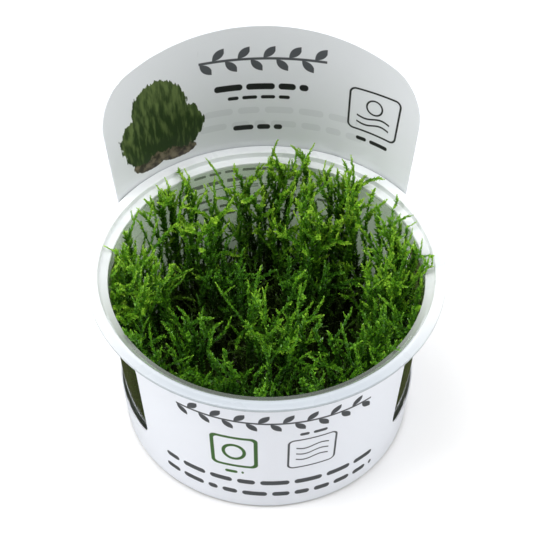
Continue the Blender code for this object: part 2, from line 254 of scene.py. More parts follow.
@dataclass(frozen=True)
class ClearPlastic:
    """Moulded polypropylene: a clear wall and a milky flange, with the faint ripple that moulding leaves.

    The spans are stretches from the front of the cup to its back, in millimetres, over which the milk
    changes: how high up it starts, its tone, its share in the flange and its share in the wall. Much of
    this is painted light and shade. The milk starts lower at the back as a painted highlight on the back
    ledge. It is darker at the front as painted shade from the shaded label under the flange. It takes a
    larger share at the back as painted light on the back rim. It lies greenish on the back wall as painted
    light that stands in for the light coming through the label.
    """

    tint: Colour = (0.955, 0.975, 0.962)
    tint_deep: Colour = (0.93, 0.955, 0.94)
    ior: float = 1.49
    roughness: float = 0.01
    haze: float = 0.015
    ripple: float = 0.06
    milk: Colour = (0.85, 0.875, 0.89)
    # Painted shade: the darker milk at the front, where the shaded label shows through the flange.
    milk_front_painted_shade: Colour = (0.52, 0.565, 0.615)
    # Painted light: the greenish tint of the glow on the back wall.
    wall_painted_light_tint: Colour = (0.74, 0.84, 0.70)
    milk_roughness: float = 0.22
    milk_haze: float = 0.12
    milk_share: float = 0.82
    # Painted light: the flange is milkier and whiter towards the back rim.
    milk_share_painted_back_light: float = 0.14
    # Painted light: the share of greenish milk on the back wall, which stands in for light coming through the
    # label.
    back_wall_painted_light: float = 0.16
    milk_from: float = 53.45
    milk_full: float = 55.2
    back_highlight_rise: float = 1.3
    back_highlight_span: Pair = (-44.0, 16.0)
    front_shade_span: Pair = (-47.0, -12.0)
    back_light_span: Pair = (0.0, 36.0)
    back_wall_light_span: Pair = (12.0, 34.0)

    def material(self, name: str) -> bpy.types.Material:
        """The material of this plastic, which is milky where its height is in the flange.

        Args:
            name: its name.

        Returns:
            The material.
        """
        material, bench, clear = new_material(name)
        _, behind, height = bench.place()
        cloud = bench.noise(90.0, 3.0)
        normal = bench.bump(bench.noise(240.0, 1.0, (1.0, 1.0, 0.3)), self.ripple, 0.0004)
        bench.wire(clear, {
            "Transmission Weight": 1.0,
            "IOR": self.ior,
            "Base Color": bench.mix(cloud, self.tint, self.tint_deep),
            "Roughness": cloud * self.haze + self.roughness,
            "Normal": normal,
        })
        # Painted highlight: the milk starts lower at the back, so that the back ledge turns white.
        raised = height + behind.rise(*self.back_highlight_span) * self.back_highlight_rise
        in_flange = raised.rise(self.milk_from, self.milk_full)
        # Painted shade: the milk darkens towards the front, where the shaded label shows through the flange.
        milk = bench.mix(behind.rise(*self.front_shade_span) + cloud * 0.1 - 0.05, self.milk_front_painted_shade, self.milk)
        # Below the flange the milk takes the greenish tint of the painted light on the back wall.
        milky = bench.node("ShaderNodeBsdfPrincipled", sockets={
            "IOR": self.ior,
            "Base Color": bench.mix(in_flange, self.wall_painted_light_tint, milk),
            "Roughness": cloud * self.milk_haze + self.milk_roughness,
            "Normal": normal,
        })
        # Painted light: the flange takes a larger share of milk towards the back, which whitens the back rim.
        share = in_flange * (behind.rise(*self.back_light_span) * self.milk_share_painted_back_light + self.milk_share)
        # Painted light: a greenish milk on the back wall, which stands in for the light coming through the
        # label.
        share = share + behind.rise(*self.back_wall_light_span) * (1.0 - in_flange) * self.back_wall_painted_light
        both = bench.node("ShaderNodeMixShader", sockets={0: share, 1: clear.outputs[0], 2: milky.outputs[0]})
        bench.feed(material.node_tree.nodes["Material Output"].inputs["Surface"], both.outputs[0])
        return material


@dataclass(frozen=True)
class Agar:
    """Clear nutrient gel, wet on top, tinted dark olive as painted shade, so that it reads dark between the
    tufts.
    """

    # Painted shade: the gel's dark olive tint, which makes the gel between the tufts look as dark as the
    # shade there.
    tint: Colour = (0.050, 0.074, 0.022)
    tint_deep: Colour = (0.024, 0.042, 0.010)
    clearness: float = 0.9
    ior: float = 1.34
    roughness: float = 0.03
    haze: float = 0.10
    dimples: float = 0.5

    def material(self, name: str) -> bpy.types.Material:
        """The material of this gel.

        Args:
            name: its name.

        Returns:
            The material.
        """
        material, bench, shader = new_material(name)
        cloud = bench.noise(120.0, 4.0)
        bench.wire(shader, {
            "Transmission Weight": self.clearness,
            "IOR": self.ior,
            "Base Color": bench.mix(cloud, self.tint, self.tint_deep),
            "Roughness": cloud * self.haze + self.roughness,
            "Normal": bench.bump(bench.noise(200.0, 2.0), self.dimples, 0.0006),
        })
        return material


@dataclass(frozen=True)
class MossGreen:
    """Fresh moss: yellow-green young tips, deep green leaves and olive old growth low down, with painted
    shade that darkens the tufts towards the bottom and in their shaded parts.

    The spans are the heights, in millimetres, over which the old growth and the painted deep shade give way.
    """

    tip: Colour = (0.36, 0.60, 0.045)
    young: Colour = (0.155, 0.39, 0.016)
    leaf: Colour = (0.050, 0.185, 0.007)
    shadow: Colour = (0.014, 0.060, 0.002)
    old: Colour = (0.052, 0.080, 0.012)
    # Painted shade low in the tufts.
    deep_shade: Colour = (0.012, 0.020, 0.004)
    rough: float = 0.44
    glint: float = 0.30
    gloss: float = 0.42
    old_span: Pair = (19.0, 41.0)
    deep_shade_span: Pair = (7.0, 20.0)

    def material(self, name: str) -> bpy.types.Material:
        """The material of the leaves and stems, which read how young and how shaded each one is, and its
        tone.

        Args:
            name: its name.

        Returns:
            The material.
        """
        material, bench, shader = new_material(name)
        youth_and_shade, tone = (
            Num(bench, bench.node("ShaderNodeAttribute", {"attribute_name": value}).outputs["Fac"])
            for value in ("youth_and_shade", "tone")
        )
        _, _, height = bench.place()
        patch = bench.noise(170.0, 2.0)
        stops = [(0.0, self.shadow), (0.28, self.leaf), (0.60, self.young), (1.0, self.tip)]
        # Painted shade: the colour value also falls where a strand is low or its tuft is shaded, down to the
        # shadow green.
        shade = youth_and_shade * 0.78 + tone * 0.40 + patch * 0.36 - 0.14
        green = bench.node("ShaderNodeValToRGB", {"stops": stops}, {0: shade}).outputs["Color"]
        low = 1.0 - (height + tone * 5.0 + patch * 10.0).rise(*self.old_span)
        aged = bench.mix(low * 0.9, green, self.old)
        bench.wire(shader, {
            # Painted shade: the colour darkens towards the bottom of the tufts.
            "Base Color": bench.mix(1.0 - height.rise(*self.deep_shade_span), aged, self.deep_shade),
            "Roughness": self.rough - tone.rise(0.78, 0.92) * self.glint,
            "Specular IOR Level": self.gloss,
        })
        return material


class Side(Enum):
    """The two printed faces of the label sheet."""

    OUTER = "outer"
    INNER = "inner"


@dataclass(frozen=True)
class Inks:
    """The label's white film and its printing colours, with a darker film for the inner face as painted shade
    and a painted glow colour.
    """

    film: Colour = (0.785, 0.808, 0.862)
    film_shade: Colour = (0.765, 0.788, 0.842)
    # Painted shade: the inner face is printed on a darker film.
    film_inside_painted_shade: Colour = (0.730, 0.750, 0.775)
    film_inside_painted_shade_tone: Colour = (0.710, 0.730, 0.755)
    # Painted light: the colour of the glow that stands in for light coming through the film.
    through: Colour = (0.24, 0.285, 0.215)
    through_front: float = 0.45
    grey: Colour = (0.080, 0.085, 0.095)
    black: Colour = (0.012, 0.012, 0.014)
    faint: Colour = (0.50, 0.52, 0.54)
    green: Colour = (0.060, 0.150, 0.040)
    leaf_light: Colour = (0.115, 0.165, 0.050)
    leaf_dark: Colour = (0.016, 0.034, 0.008)
    stone_light: Colour = (0.17, 0.14, 0.09)
    stone_dark: Colour = (0.022, 0.016, 0.010)
    satin: float = 0.36
    edge_blur: float = 0.09


@dataclass(frozen=True)
class WordRow:
    """A printed line that stands for words: a row of bars of unlike lengths, in millimetres on the label.

    The lean is how much it falls for each length along the label.
    """

    low: float
    tall: float
    left: float
    right: float
    word: float
    gap: float = 1.1
    lean: float = 0.0


@dataclass(frozen=True)
class Sprig:
    """A printed sprig: its middle, half its length, the length of a leaf, and its lean like a row's.

    The other sizes are shares of a leaf's length: from leaf to leaf, how far a leaf's middle stands off and
    is shifted, how wide half a leaf is, and how thick half the stem is.
    """

    centre: Pair
    half: float
    leaf: float
    lean: float = 0.0
    pitch: float = 0.68
    stand_off: float = 0.42
    shift: float = 0.04
    belly: float = 0.23
    stem: float = 0.08
    turn: float = math.radians(48.0)


@dataclass(frozen=True)
class Shape:
    """A printed shape's middle, and half its length and height, in millimetres on the label."""

    centre: Pair
    half: Pair


@dataclass(frozen=True)
class LabelLayout:
    """Where the printed marks sit on the label, in millimetres along and up, and how large they are."""

    radius: float = 44.5
    header_radius: float = 51.0
    header_sprig: Sprig = Sprig((1.0, 89.0), 18.8, 5.6)
    front_sprig: Sprig = Sprig((0.5, 43.6), 27.0, 4.6, FRONT_LEAN)
    title_rows: tuple[WordRow, ...] = (
        WordRow(77.6, 2.3, -13.5, 14.6, 9.0),
        WordRow(74.1, 1.3, -9.5, 10.0, 5.0),
        WordRow(62.2, 1.9, -8.5, 7.5, 5.5),
    )
    back_rows: tuple[WordRow, ...] = (
        WordRow(68.6, 2.4, -27.5, 30.0, 9.0, 1.6),
        WordRow(63.2, 2.4, -27.5, 32.0, 7.5, 1.6),
    )
    panel_rows: tuple[WordRow, ...] = (
        WordRow(46.8, 0.95, -22.0, 21.0, 6.0, 1.2),
        WordRow(43.7, 0.95, -27.0, 24.0, 6.0, 1.2),
        WordRow(40.6, 0.95, -24.0, 18.0, 6.0, 1.2),
        WordRow(37.5, 0.95, -27.0, 23.0, 6.0, 1.2),
        WordRow(34.4, 0.95, -25.0, 20.0, 6.0, 1.2),
        WordRow(31.3, 0.95, -20.0, 12.0, 6.0, 1.2),
    )
    front_rows: tuple[WordRow, ...] = (
        WordRow(12.2, 2.2, -33.0, 33.0, 8.5, 1.5, FRONT_LEAN),
        WordRow(6.2, 2.2, -33.5, 32.5, 6.5, 1.5, FRONT_LEAN),
    )
    emblem: Shape = Shape((34.8, 75.2), (8.0, 7.4))
    emblem_ring: Shape = Shape((34.8, 77.2), (2.4, 2.4))
    emblem_line: float = 0.62
    emblem_ring_line: float = 0.28
    emblem_wave: float = 5.2
    emblem_waves: tuple[float, ...] = (73.2, 71.0)
    emblem_row: WordRow = WordRow(64.4, 1.3, 30.0, 40.5, 10.0)
    left_mark: Shape = Shape((-10.8, 28.6), (6.6, 7.6))
    left_ring: Shape = Shape((-10.8, 28.6), (2.9, 3.4))
    left_line: float = 1.1
    left_ring_line: float = 0.5
    left_row: WordRow = WordRow(17.6, 1.4, -13.6, -8.2, 6.0)
    right_mark: Shape = Shape((10.8, 27.6), (7.0, 7.2))
    right_wave: float = 4.6
    right_waves: tuple[float, ...] = (25.0, 27.8, 30.6)
    right_row: WordRow = WordRow(36.6, 1.3, 7.0, 14.6, 8.0)
    stones: tuple[Shape, ...] = (Shape((-35.5, 60.8), (6.2, 3.2)), Shape((-26.0, 60.2), (6.0, 2.8)))
    domes: tuple[Shape, ...] = (
        Shape((-37.8, 69.2), (6.8, 8.4)),
        Shape((-23.6, 68.6), (6.6, 7.8)),
        Shape((-30.8, 74.6), (9.2, 12.6)),
    )
    fine_line: float = 0.6
    swing: float = 0.6
    shows_through: float = 0.32
    panel_ink: float = 0.85


class PrintFace:
    """One face of the label while it is printed: the colours so far, and how much ink is on them."""

    def __init__(self, bench: Bench, film: object, along: Num, height: Num, blur: float) -> None:
        """Takes the bare film, and the places along and up it in millimetres.

        Args:
            bench: the bench that makes the nodes.
            film: the colour of the bare film.
            along: the place along the label.
            height: the height.
            blur: half the width of a print's soft edge.
        """
        self.bench = bench
        self.colour = film
        self.ink: Num | None = None
        self.along = along
        self.height = height
        self.blur = blur

    def paint(self, mask: Num, ink: object) -> None:
        """Lays one ink over the colours so far."""
        self.colour = self.bench.mix(mask, self.colour, ink)
        self.ink = mask if self.ink is None else self.ink.at_least(mask)

    def inside(self, distance: Num) -> Num:
        """1 where a distance to a shape is below zero, with a soft edge."""
        return 1.0 - distance.rise(-self.blur, self.blur)

    def slab(self, shape: Shape, corner: float) -> Num:
        """The distance to a box with round corners.

        Args:
            shape: the box.
            corner: the radius of its corners.

        Returns:
            The distance, below zero inside.
        """
        du = (abs(self.along - shape.centre[0]) - (shape.half[0] - corner)).at_least(0.0)
        dv = (abs(self.height - shape.centre[1]) - (shape.half[1] - corner)).at_least(0.0)
        return (du * du + dv * dv).root() - corner

    def oval(self, shape: Shape) -> Num:
        """A rough distance to an oval.

        Args:
            shape: the oval.

        Returns:
            The distance, below zero inside.
        """
        du = (self.along - shape.centre[0]) * (1.0 / shape.half[0])
        dv = (self.height - shape.centre[1]) * (1.0 / shape.half[1])
        return ((du * du + dv * dv).root() - 1.0) * min(shape.half)

    def ring(self, shape: Shape, half_line: float) -> Num:
        """The mask of an oval's outline."""
        return self.inside(abs(self.oval(shape)) - half_line)

    def words(self, row: WordRow) -> Num:
        """The mask of one row of words.

        Args:
            row: the row.

        Returns:
            The mask.
        """
        line = self.height + self.along * row.lean - (row.low + row.tall / 2.0)
        sockets = {"W": self.along * (1.0 / row.word) + row.low, "Scale": 1.0, "Randomness": 0.75}
        kind = {"voronoi_dimensions": "1D", "feature": "DISTANCE_TO_EDGE"}
        edge = Num(self.bench, self.bench.node("ShaderNodeTexVoronoi", kind, sockets).outputs["Distance"])
        edge = (edge * row.word).at_most(self.along - row.left + row.gap / 2.0)
        edge = edge.at_most(row.right + row.gap / 2.0 - self.along)
        corner = row.tall * 0.45
        du = (row.gap / 2.0 + corner - edge).at_least(0.0)
        dv = (abs(line) - (row.tall / 2.0 - corner)).at_least(0.0)
        return self.inside((du * du + dv * dv).root() - corner)

    def outlined(self, shape: Shape, line: float) -> Num:
        """The mask of a round-cornered frame.

        Args:
            shape: the frame's outline.
            line: the width of its line.

        Returns:
            The mask.
        """
        corner = min(shape.half) * 0.28
        hole = Shape(shape.centre, (shape.half[0] - line, shape.half[1] - line))
        return self.inside(self.slab(shape, corner)) * (1.0 - self.inside(self.slab(hole, corner * 0.7)))

    def wavy(self, centre: Pair, half: float, line: float, swing: float) -> Num:
        """The mask of a short wavy stroke.

        Args:
            centre: its middle.
            half: half its length.
            line: its width.
            swing: how far it swings up and down.

        Returns:
            The mask.
        """
        curve = self.height - centre[1] - ((self.along - centre[0]) * (math.pi / half)).wave() * swing
        within = self.inside(abs(self.along - centre[0]) - half)
        return self.inside(abs(curve) - line / 2.0) * within

    def sprig(self, sprig: Sprig) -> Num:
        """The mask of a straight sprig with leaves set in turn above and below its stem.

        Args:
            sprig: the sprig.

        Returns:
            The mask.
        """
        leaf = sprig.leaf
        pitch = 2.0 * sprig.half / max(1, round(2.0 * sprig.half / (leaf * sprig.pitch)))
        cell = (self.along - (sprig.centre[0] - sprig.half)) * (1.0 / pitch)
        number = self.bench.number("FLOOR", cell)
        side = self.bench.number("MODULO", abs(number), 2.0) * 2.0 - 1.0
        up = self.height + self.along * sprig.lean - sprig.centre[1]
        across = (cell - number - 0.5) * pitch - leaf * sprig.shift
        rise = up * side - leaf * sprig.stand_off
        along = across * math.cos(sprig.turn) + rise * math.sin(sprig.turn)
        aside = rise * math.cos(sprig.turn) - across * math.sin(sprig.turn)
        share = along * (2.0 / leaf)
        belly = leaf * sprig.belly
        blade = self.inside(abs(aside) + share * share * belly - belly)
        stem = self.inside(abs(up) - leaf * sprig.stem)
        return blade.at_least(stem) * self.inside(abs(self.along - sprig.centre[0]) - sprig.half)


@dataclass(frozen=True)
class LabelPrint:
    """The finish of one face of the label: white film, word rows, simple emblems and a picture."""

    inks: Inks
    side: Side
    layout: LabelLayout = LabelLayout()

    def material(self, name: str) -> bpy.types.Material:
        """The material of this face.

        Args:
            name: its name.

        Returns:
            The material.
        """
        inks = self.inks
        material, bench, shader = new_material(name)
        x, y, z = bench.place()
        light, shade = inks.film, inks.film_shade
        # Painted shade: the inner face takes the darker film.
        if self.side is Side.INNER:
            light, shade = inks.film_inside_painted_shade, inks.film_inside_painted_shade_tone
        film = bench.mix(bench.noise(22.0, 2.0), light, shade)
        from_back = bench.number("ARCTAN2", x, y) * self.layout.header_radius
        if self.side is Side.OUTER:
            from_front = bench.number("ARCTAN2", x, y * -1.0) * self.layout.radius
            face = PrintFace(bench, film, from_front, z, inks.edge_blur)
            self.print_front(face)
            face.along = from_back
            for row in self.layout.back_rows:
                face.paint(face.words(row), inks.grey)
        else:
            face = PrintFace(bench, film, from_back, z, inks.edge_blur)
            self.print_header(face)
            self.glow(bench, shader, y, z, face.ink)
        grain = bench.noise(1500.0, 2.0) * 0.3 + bench.noise(30.0, 1.0)
        bench.wire(shader, {
            "Base Color": face.colour,
            "Roughness": bench.noise(300.0, 3.0) * 0.16 - face.ink * 0.06 + inks.satin,
            "Normal": bench.bump(grain, 0.10, 0.0003),
        })
        return material

    def glow(self, bench: Bench, shader: bpy.types.Node, y: Num, z: Num, ink: Num) -> None:
        """Painted light: a glow on the inner face that stands in for the light coming through the film to the
        cup's wall, but not through ink.

        Args:
            bench: the bench that makes the nodes.
            shader: the face's shader.
            y: the place from front to back.
            z: the height.
            ink: how much ink is on the film.
        """
        inks = self.inks
        # Painted light: the glow is stronger behind the cup and higher up, and none shows through ink.
        behind_cup = y.rise(4.0, 18.0) * (1.0 - inks.through_front) + inks.through_front
        share = behind_cup * z.rise(-10.0, 46.0) * (1.0 - z.rise(51.0, 54.5)) * (1.0 - ink)
        colour = bench.mix(share, (0.0, 0.0, 0.0), inks.through)
        bench.wire(shader, {"Emission Color": colour, "Emission Strength": 1.0})

    def print_header(self, face: PrintFace) -> None:
        """Prints the inside of the header, and the panel behind the cup.

        Args:
            face: the face that is printed.
        """
        inks, layout = self.inks, self.layout
        for row in layout.back_rows:
            face.paint(face.words(row) * layout.shows_through, inks.faint)
        face.paint(face.sprig(layout.header_sprig), inks.grey)
        for row in layout.title_rows:
            face.paint(face.words(row), inks.black)
        face.paint(face.outlined(layout.emblem, layout.emblem_line), inks.black)
        face.paint(face.ring(layout.emblem_ring, layout.emblem_ring_line), inks.black)
        for level in layout.emblem_waves:
            middle = (layout.emblem.centre[0], level)
            face.paint(face.wavy(middle, layout.emblem_wave, layout.fine_line, layout.swing), inks.black)
        face.paint(face.words(layout.emblem_row), inks.black)
        self.print_picture(face)
        for row in layout.panel_rows:
            face.paint(face.words(row) * layout.panel_ink, inks.black)

    def print_picture(self, face: PrintFace) -> None:
        """Prints a picture of three soft domes of growth on two pebbles.

        Args:
            face: the face that is printed.
        """
        inks, bench = self.inks, face.bench
        strand = bench.noise(900.0, 3.0, (1.0, 1.0, 0.22))
        fringe = (strand - 0.5) * 6.5 + (bench.noise(300.0, 2.0) - 0.5) * 2.0
        stone = bench.mix(bench.noise(500.0, 4.0).rise(0.35, 0.72), inks.stone_dark, inks.stone_light)
        for shape in self.layout.stones:
            face.paint(face.inside(face.oval(shape) + fringe * 0.12), stone)
        for shape in self.layout.domes:
            up = (face.height - shape.centre[1]) * (0.35 / shape.half[1])
            light = (strand.rise(0.34, 0.70) * 0.75 + up).rise(0.0, 1.05)
            leaves = bench.mix(light, inks.leaf_dark, inks.leaf_light)
            face.paint(face.inside(face.oval(shape) + fringe * 0.55), leaves)

    def print_front(self, face: PrintFace) -> None:
        """Prints the outside of the band: a sprig, two pictograms and two bold rows.

        Args:
            face: the face that is printed.
        """
        inks, layout = self.inks, self.layout
        face.paint(face.sprig(layout.front_sprig), inks.grey)
        for row in layout.front_rows:
            face.paint(face.words(row), inks.grey)
        left = face.outlined(layout.left_mark, layout.left_line)
        face.paint(left.at_least(face.ring(layout.left_ring, layout.left_ring_line)), inks.green)
        face.paint(face.words(layout.left_row), inks.green)
        right = face.outlined(layout.right_mark, layout.fine_line)
        for level in layout.right_waves:
            middle = (layout.right_mark.centre[0], level)
            right = right.at_least(face.wavy(middle, layout.right_wave, layout.fine_line, layout.swing))
        face.paint(right, inks.grey)
        face.paint(face.words(layout.right_row), inks.grey)


def round_off(points: Profile, radius: float, steps: int) -> Profile:
    """Rounds the corners of a closed profile, apart from those on the axis.

    Args:
        points: the profile's corners, as (radius from the axis, height).
        radius: the rounding's radius, which is less where an edge is short.
        steps: how many edges each rounding has.

    Returns:
        The rounded profile.
    """
    rounded: Profile = []
    for i, point in enumerate(points):
        here = Vector(point)
        back = Vector(points[i - 1]) - here
        ahead = Vector(points[(i + 1) % len(points)]) - here
        if here.x < 0.1 * MM or back.length < 0.01 * MM or ahead.length < 0.01 * MM:
            rounded.append(point)
            continue
        reach = min(radius, back.length * 0.45, ahead.length * 0.45)
        start = here + back.normalized() * reach
        end = here + ahead.normalized() * reach
        for step in range(steps + 1):
            share = step / steps
            spot = start * (1 - share) ** 2 + here * 2 * share * (1 - share) + end * share**2
            rounded.append((spot.x, spot.y))
    return rounded


def evenly(low: float, high: float, count: int) -> list[float]:
    """Values in even steps from low to high, both of them included."""
    return [low + (high - low) * i / count for i in range(count + 1)]


def arc(centre: Pair, radius: float, start: float, end: float, count: int) -> Profile:
    """Points of an arc in a profile's plane, from one angle in degrees to another."""
    angles = [math.radians(angle) for angle in evenly(start, end, count)]
    return [(centre[0] + radius * math.cos(a), centre[1] + radius * math.sin(a)) for a in angles]


def add_piece(name: str, mesh: bpy.types.Mesh) -> bpy.types.Object:
    """Adds an object at the origin for a mesh that is already in place.

    Args:
        name: the object's name.
        mesh: its mesh.

    Returns:
        The object.
    """
    piece = bpy.data.objects.new(name, mesh)
    bpy.context.scene.collection.objects.link(piece)
    return piece


def mesh_from(draft: bmesh.types.BMesh, name: str, outward: bool = True) -> bpy.types.Mesh:
    """Turns a draft into a mesh, and frees the draft.

    Args:
        draft: the draft.
        name: the mesh's name.
        outward: whether its faces are first turned to point out.

    Returns:
        The mesh.
    """
    if outward:
        bmesh.ops.recalc_face_normals(draft, faces=draft.faces)
    mesh = bpy.data.meshes.new(name)
    draft.to_mesh(mesh)
    draft.free()
    return mesh


def smooth(mesh: bpy.types.Mesh) -> None:
    """Shades a mesh smooth between its sharp edges."""
    mesh.shade_smooth()
    mesh.set_sharp_from_angle(angle=SHARP)


def lathe(name: str, profile: Profile, steps: int) -> bpy.types.Object:
    """Turns a closed profile round the Z axis.

    Args:
        name: the piece's name.
        profile: corners as (radius from the axis, height), in metres.
        steps: how many steps the turn has.

    Returns:
        The turned piece, smooth, with its faces pointing out.
    """
    draft = bmesh.new()
    points = [draft.verts.new((r, 0.0, z)) for r, z in profile]
    edges = []
    for a, b in zip(points, points[1:] + points[:1]):
        if a.co.x > 1e-7 or b.co.x > 1e-7:
            edges.append(draft.edges.new((a, b)))
    turn = {"axis": (0, 0, 1), "cent": (0, 0, 0), "angle": 2 * math.pi, "steps": steps}
    bmesh.ops.spin(draft, geom=points + edges, use_merge=True, **turn)
    bmesh.ops.remove_doubles(draft, verts=draft.verts, dist=0.001 * MM)
    mesh = mesh_from(draft, name)
    smooth(mesh)
    return add_piece(name, mesh)


def baked(piece: bpy.types.Object) -> bpy.types.Mesh:
    """The mesh of a piece as its modifiers leave it. The modifiers are then removed.

    Args:
        piece: the piece.

    Returns:
        The new mesh.
    """
    bpy.context.view_layer.update()
    graph = bpy.context.evaluated_depsgraph_get()
    mesh = bpy.data.meshes.new_from_object(piece.evaluated_get(graph))
    piece.modifiers.clear()
    return mesh


@dataclass
class Cup:
    """The clear cup. Its height and flange come from the frame, the rest are its own sizes."""

    height: float
    flange: float
    wall: float = 0.8 * MM
    foot: float = 41.5 * MM
    corner: float = 3.4 * MM
    collar: float = 46.9 * MM
    collar_depth: float = 1.8 * MM
    ledge: float = 44.3 * MM
    flange_thick: float = 0.7 * MM
    lip: float = 1.1 * MM
    shoulder_drop: float = 8.2 * MM
    shoulder_step: float = 0.55 * MM
    shoulder_slope: float = 2.2 * MM
    base_ring: Pair = (30.0 * MM, 31.2 * MM)
    base_recess: float = 0.25 * MM
    edge: float = 0.28 * MM
    edge_steps: int = 4
    steps: int = 160
    finish: ClearPlastic = field(default_factory=ClearPlastic)

    @classmethod
    def from_frame(cls) -> "Cup":
        """The cup at the size of its node."""
        _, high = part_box("cup")
        return cls(height=high.z, flange=high.x)

    def inner_radius(self, height: float) -> float:
        """How wide the cup is inside.

        Args:
            height: the height of the place.

        Returns:
            The inner wall's radius there.
        """
        if height > self.height - self.collar_depth:
            return self.collar
        shoulder = self.height - self.shoulder_drop
        if height > shoulder:
            return self.ledge - self.wall / 4
        at_top = self.ledge - self.shoulder_step - self.wall / 4
        share = min(max((height - self.corner) / (shoulder - self.corner), 0.0), 1.0)
        return self.foot + (at_top - self.foot) * share

    def profile(self) -> Profile:
        """The cup's section.

        Returns:
            Its corners, down the outside and up the inside.
        """
        top = self.height
        under = top - self.flange_thick
        ledge = top - self.collar_depth
        shoulder = top - self.shoulder_drop
        upper = self.ledge + self.wall
        foot = self.foot + self.wall
        quarter = self.wall / 4
        ring_in, ring_out = self.base_ring
        outside = [
            (self.collar, top),
            (self.flange, top),
            (self.flange, top - self.lip),
            (self.flange - self.wall, under),
            (self.collar + self.wall, under),
            (self.collar + self.wall, ledge - self.wall),
            (upper, ledge - self.wall),
            (upper - quarter, shoulder),
            (upper - self.shoulder_step - quarter, shoulder - self.shoulder_slope),
        ]
        outside += arc((foot - self.corner, self.corner), self.corner, 0, -90, 8)
        outside += [(ring_out, 0.0), (ring_in, self.base_recess), (0.0, self.base_recess), (0.0, self.wall)]
        inner = self.corner - self.wall
        inside = arc((self.foot - inner, self.corner), inner, -90, 0, 8)
        inside += [
            (self.ledge - self.shoulder_step - quarter, shoulder - self.shoulder_slope),
            (self.ledge - quarter, shoulder),
            (self.ledge, ledge),
            (self.collar, ledge),
        ]
        return outside + inside

    def build(self) -> bpy.types.Object:
        """Makes the cup and gives it its finish.

        Returns:
            The cup.
        """
        cup = lathe("clear_cup", round_off(self.profile(), self.edge, self.edge_steps), self.steps)
        cup.data.materials.append(self.finish.material("clear_plastic"))
        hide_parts("cup")
        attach(cup, BODY)
        return cup


@dataclass
class Gel:
    """The disc of nutrient gel in the bottom of the cup."""

    cup: Cup
    level: float = 8.0 * MM
    gap: float = 0.05 * MM
    cling: float = 1.0 * MM
    cling_width: float = 2.4 * MM
    cling_curve: float = 2.4
    cling_steps: int = 8
    steps: int = 96
    finish: Agar = field(default_factory=Agar)

    def profile(self) -> Profile:
        """The gel's section, which climbs the wall a little.

        Returns:
            Its corners, from the middle of the top out and down to the middle of the underside.
        """
        cup = self.cup
        wall = cup.inner_radius(self.level) - self.gap
        inner = cup.corner - cup.wall
        floor = cup.wall + self.gap
        points = [(0.0, self.level)]
        for share in evenly(0.0, 1.0, self.cling_steps):
            level = self.level + self.cling * share**self.cling_curve
            points.append((wall - self.cling_width * (1 - share), level))
        points += arc((cup.foot - inner - self.gap, cup.corner), inner, 0, -90, 6)
        points.append((0.0, floor))
        return points

    def build(self) -> bpy.types.Object:
        """Makes the gel and gives it its finish.

        Returns:
            The gel.
        """
        gel = lathe("clear_gel", self.profile(), self.steps)
        gel.data.materials.append(self.finish.material("nutrient_gel"))
        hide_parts("nutrient_gel")
        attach(gel, BODY)
        return gel


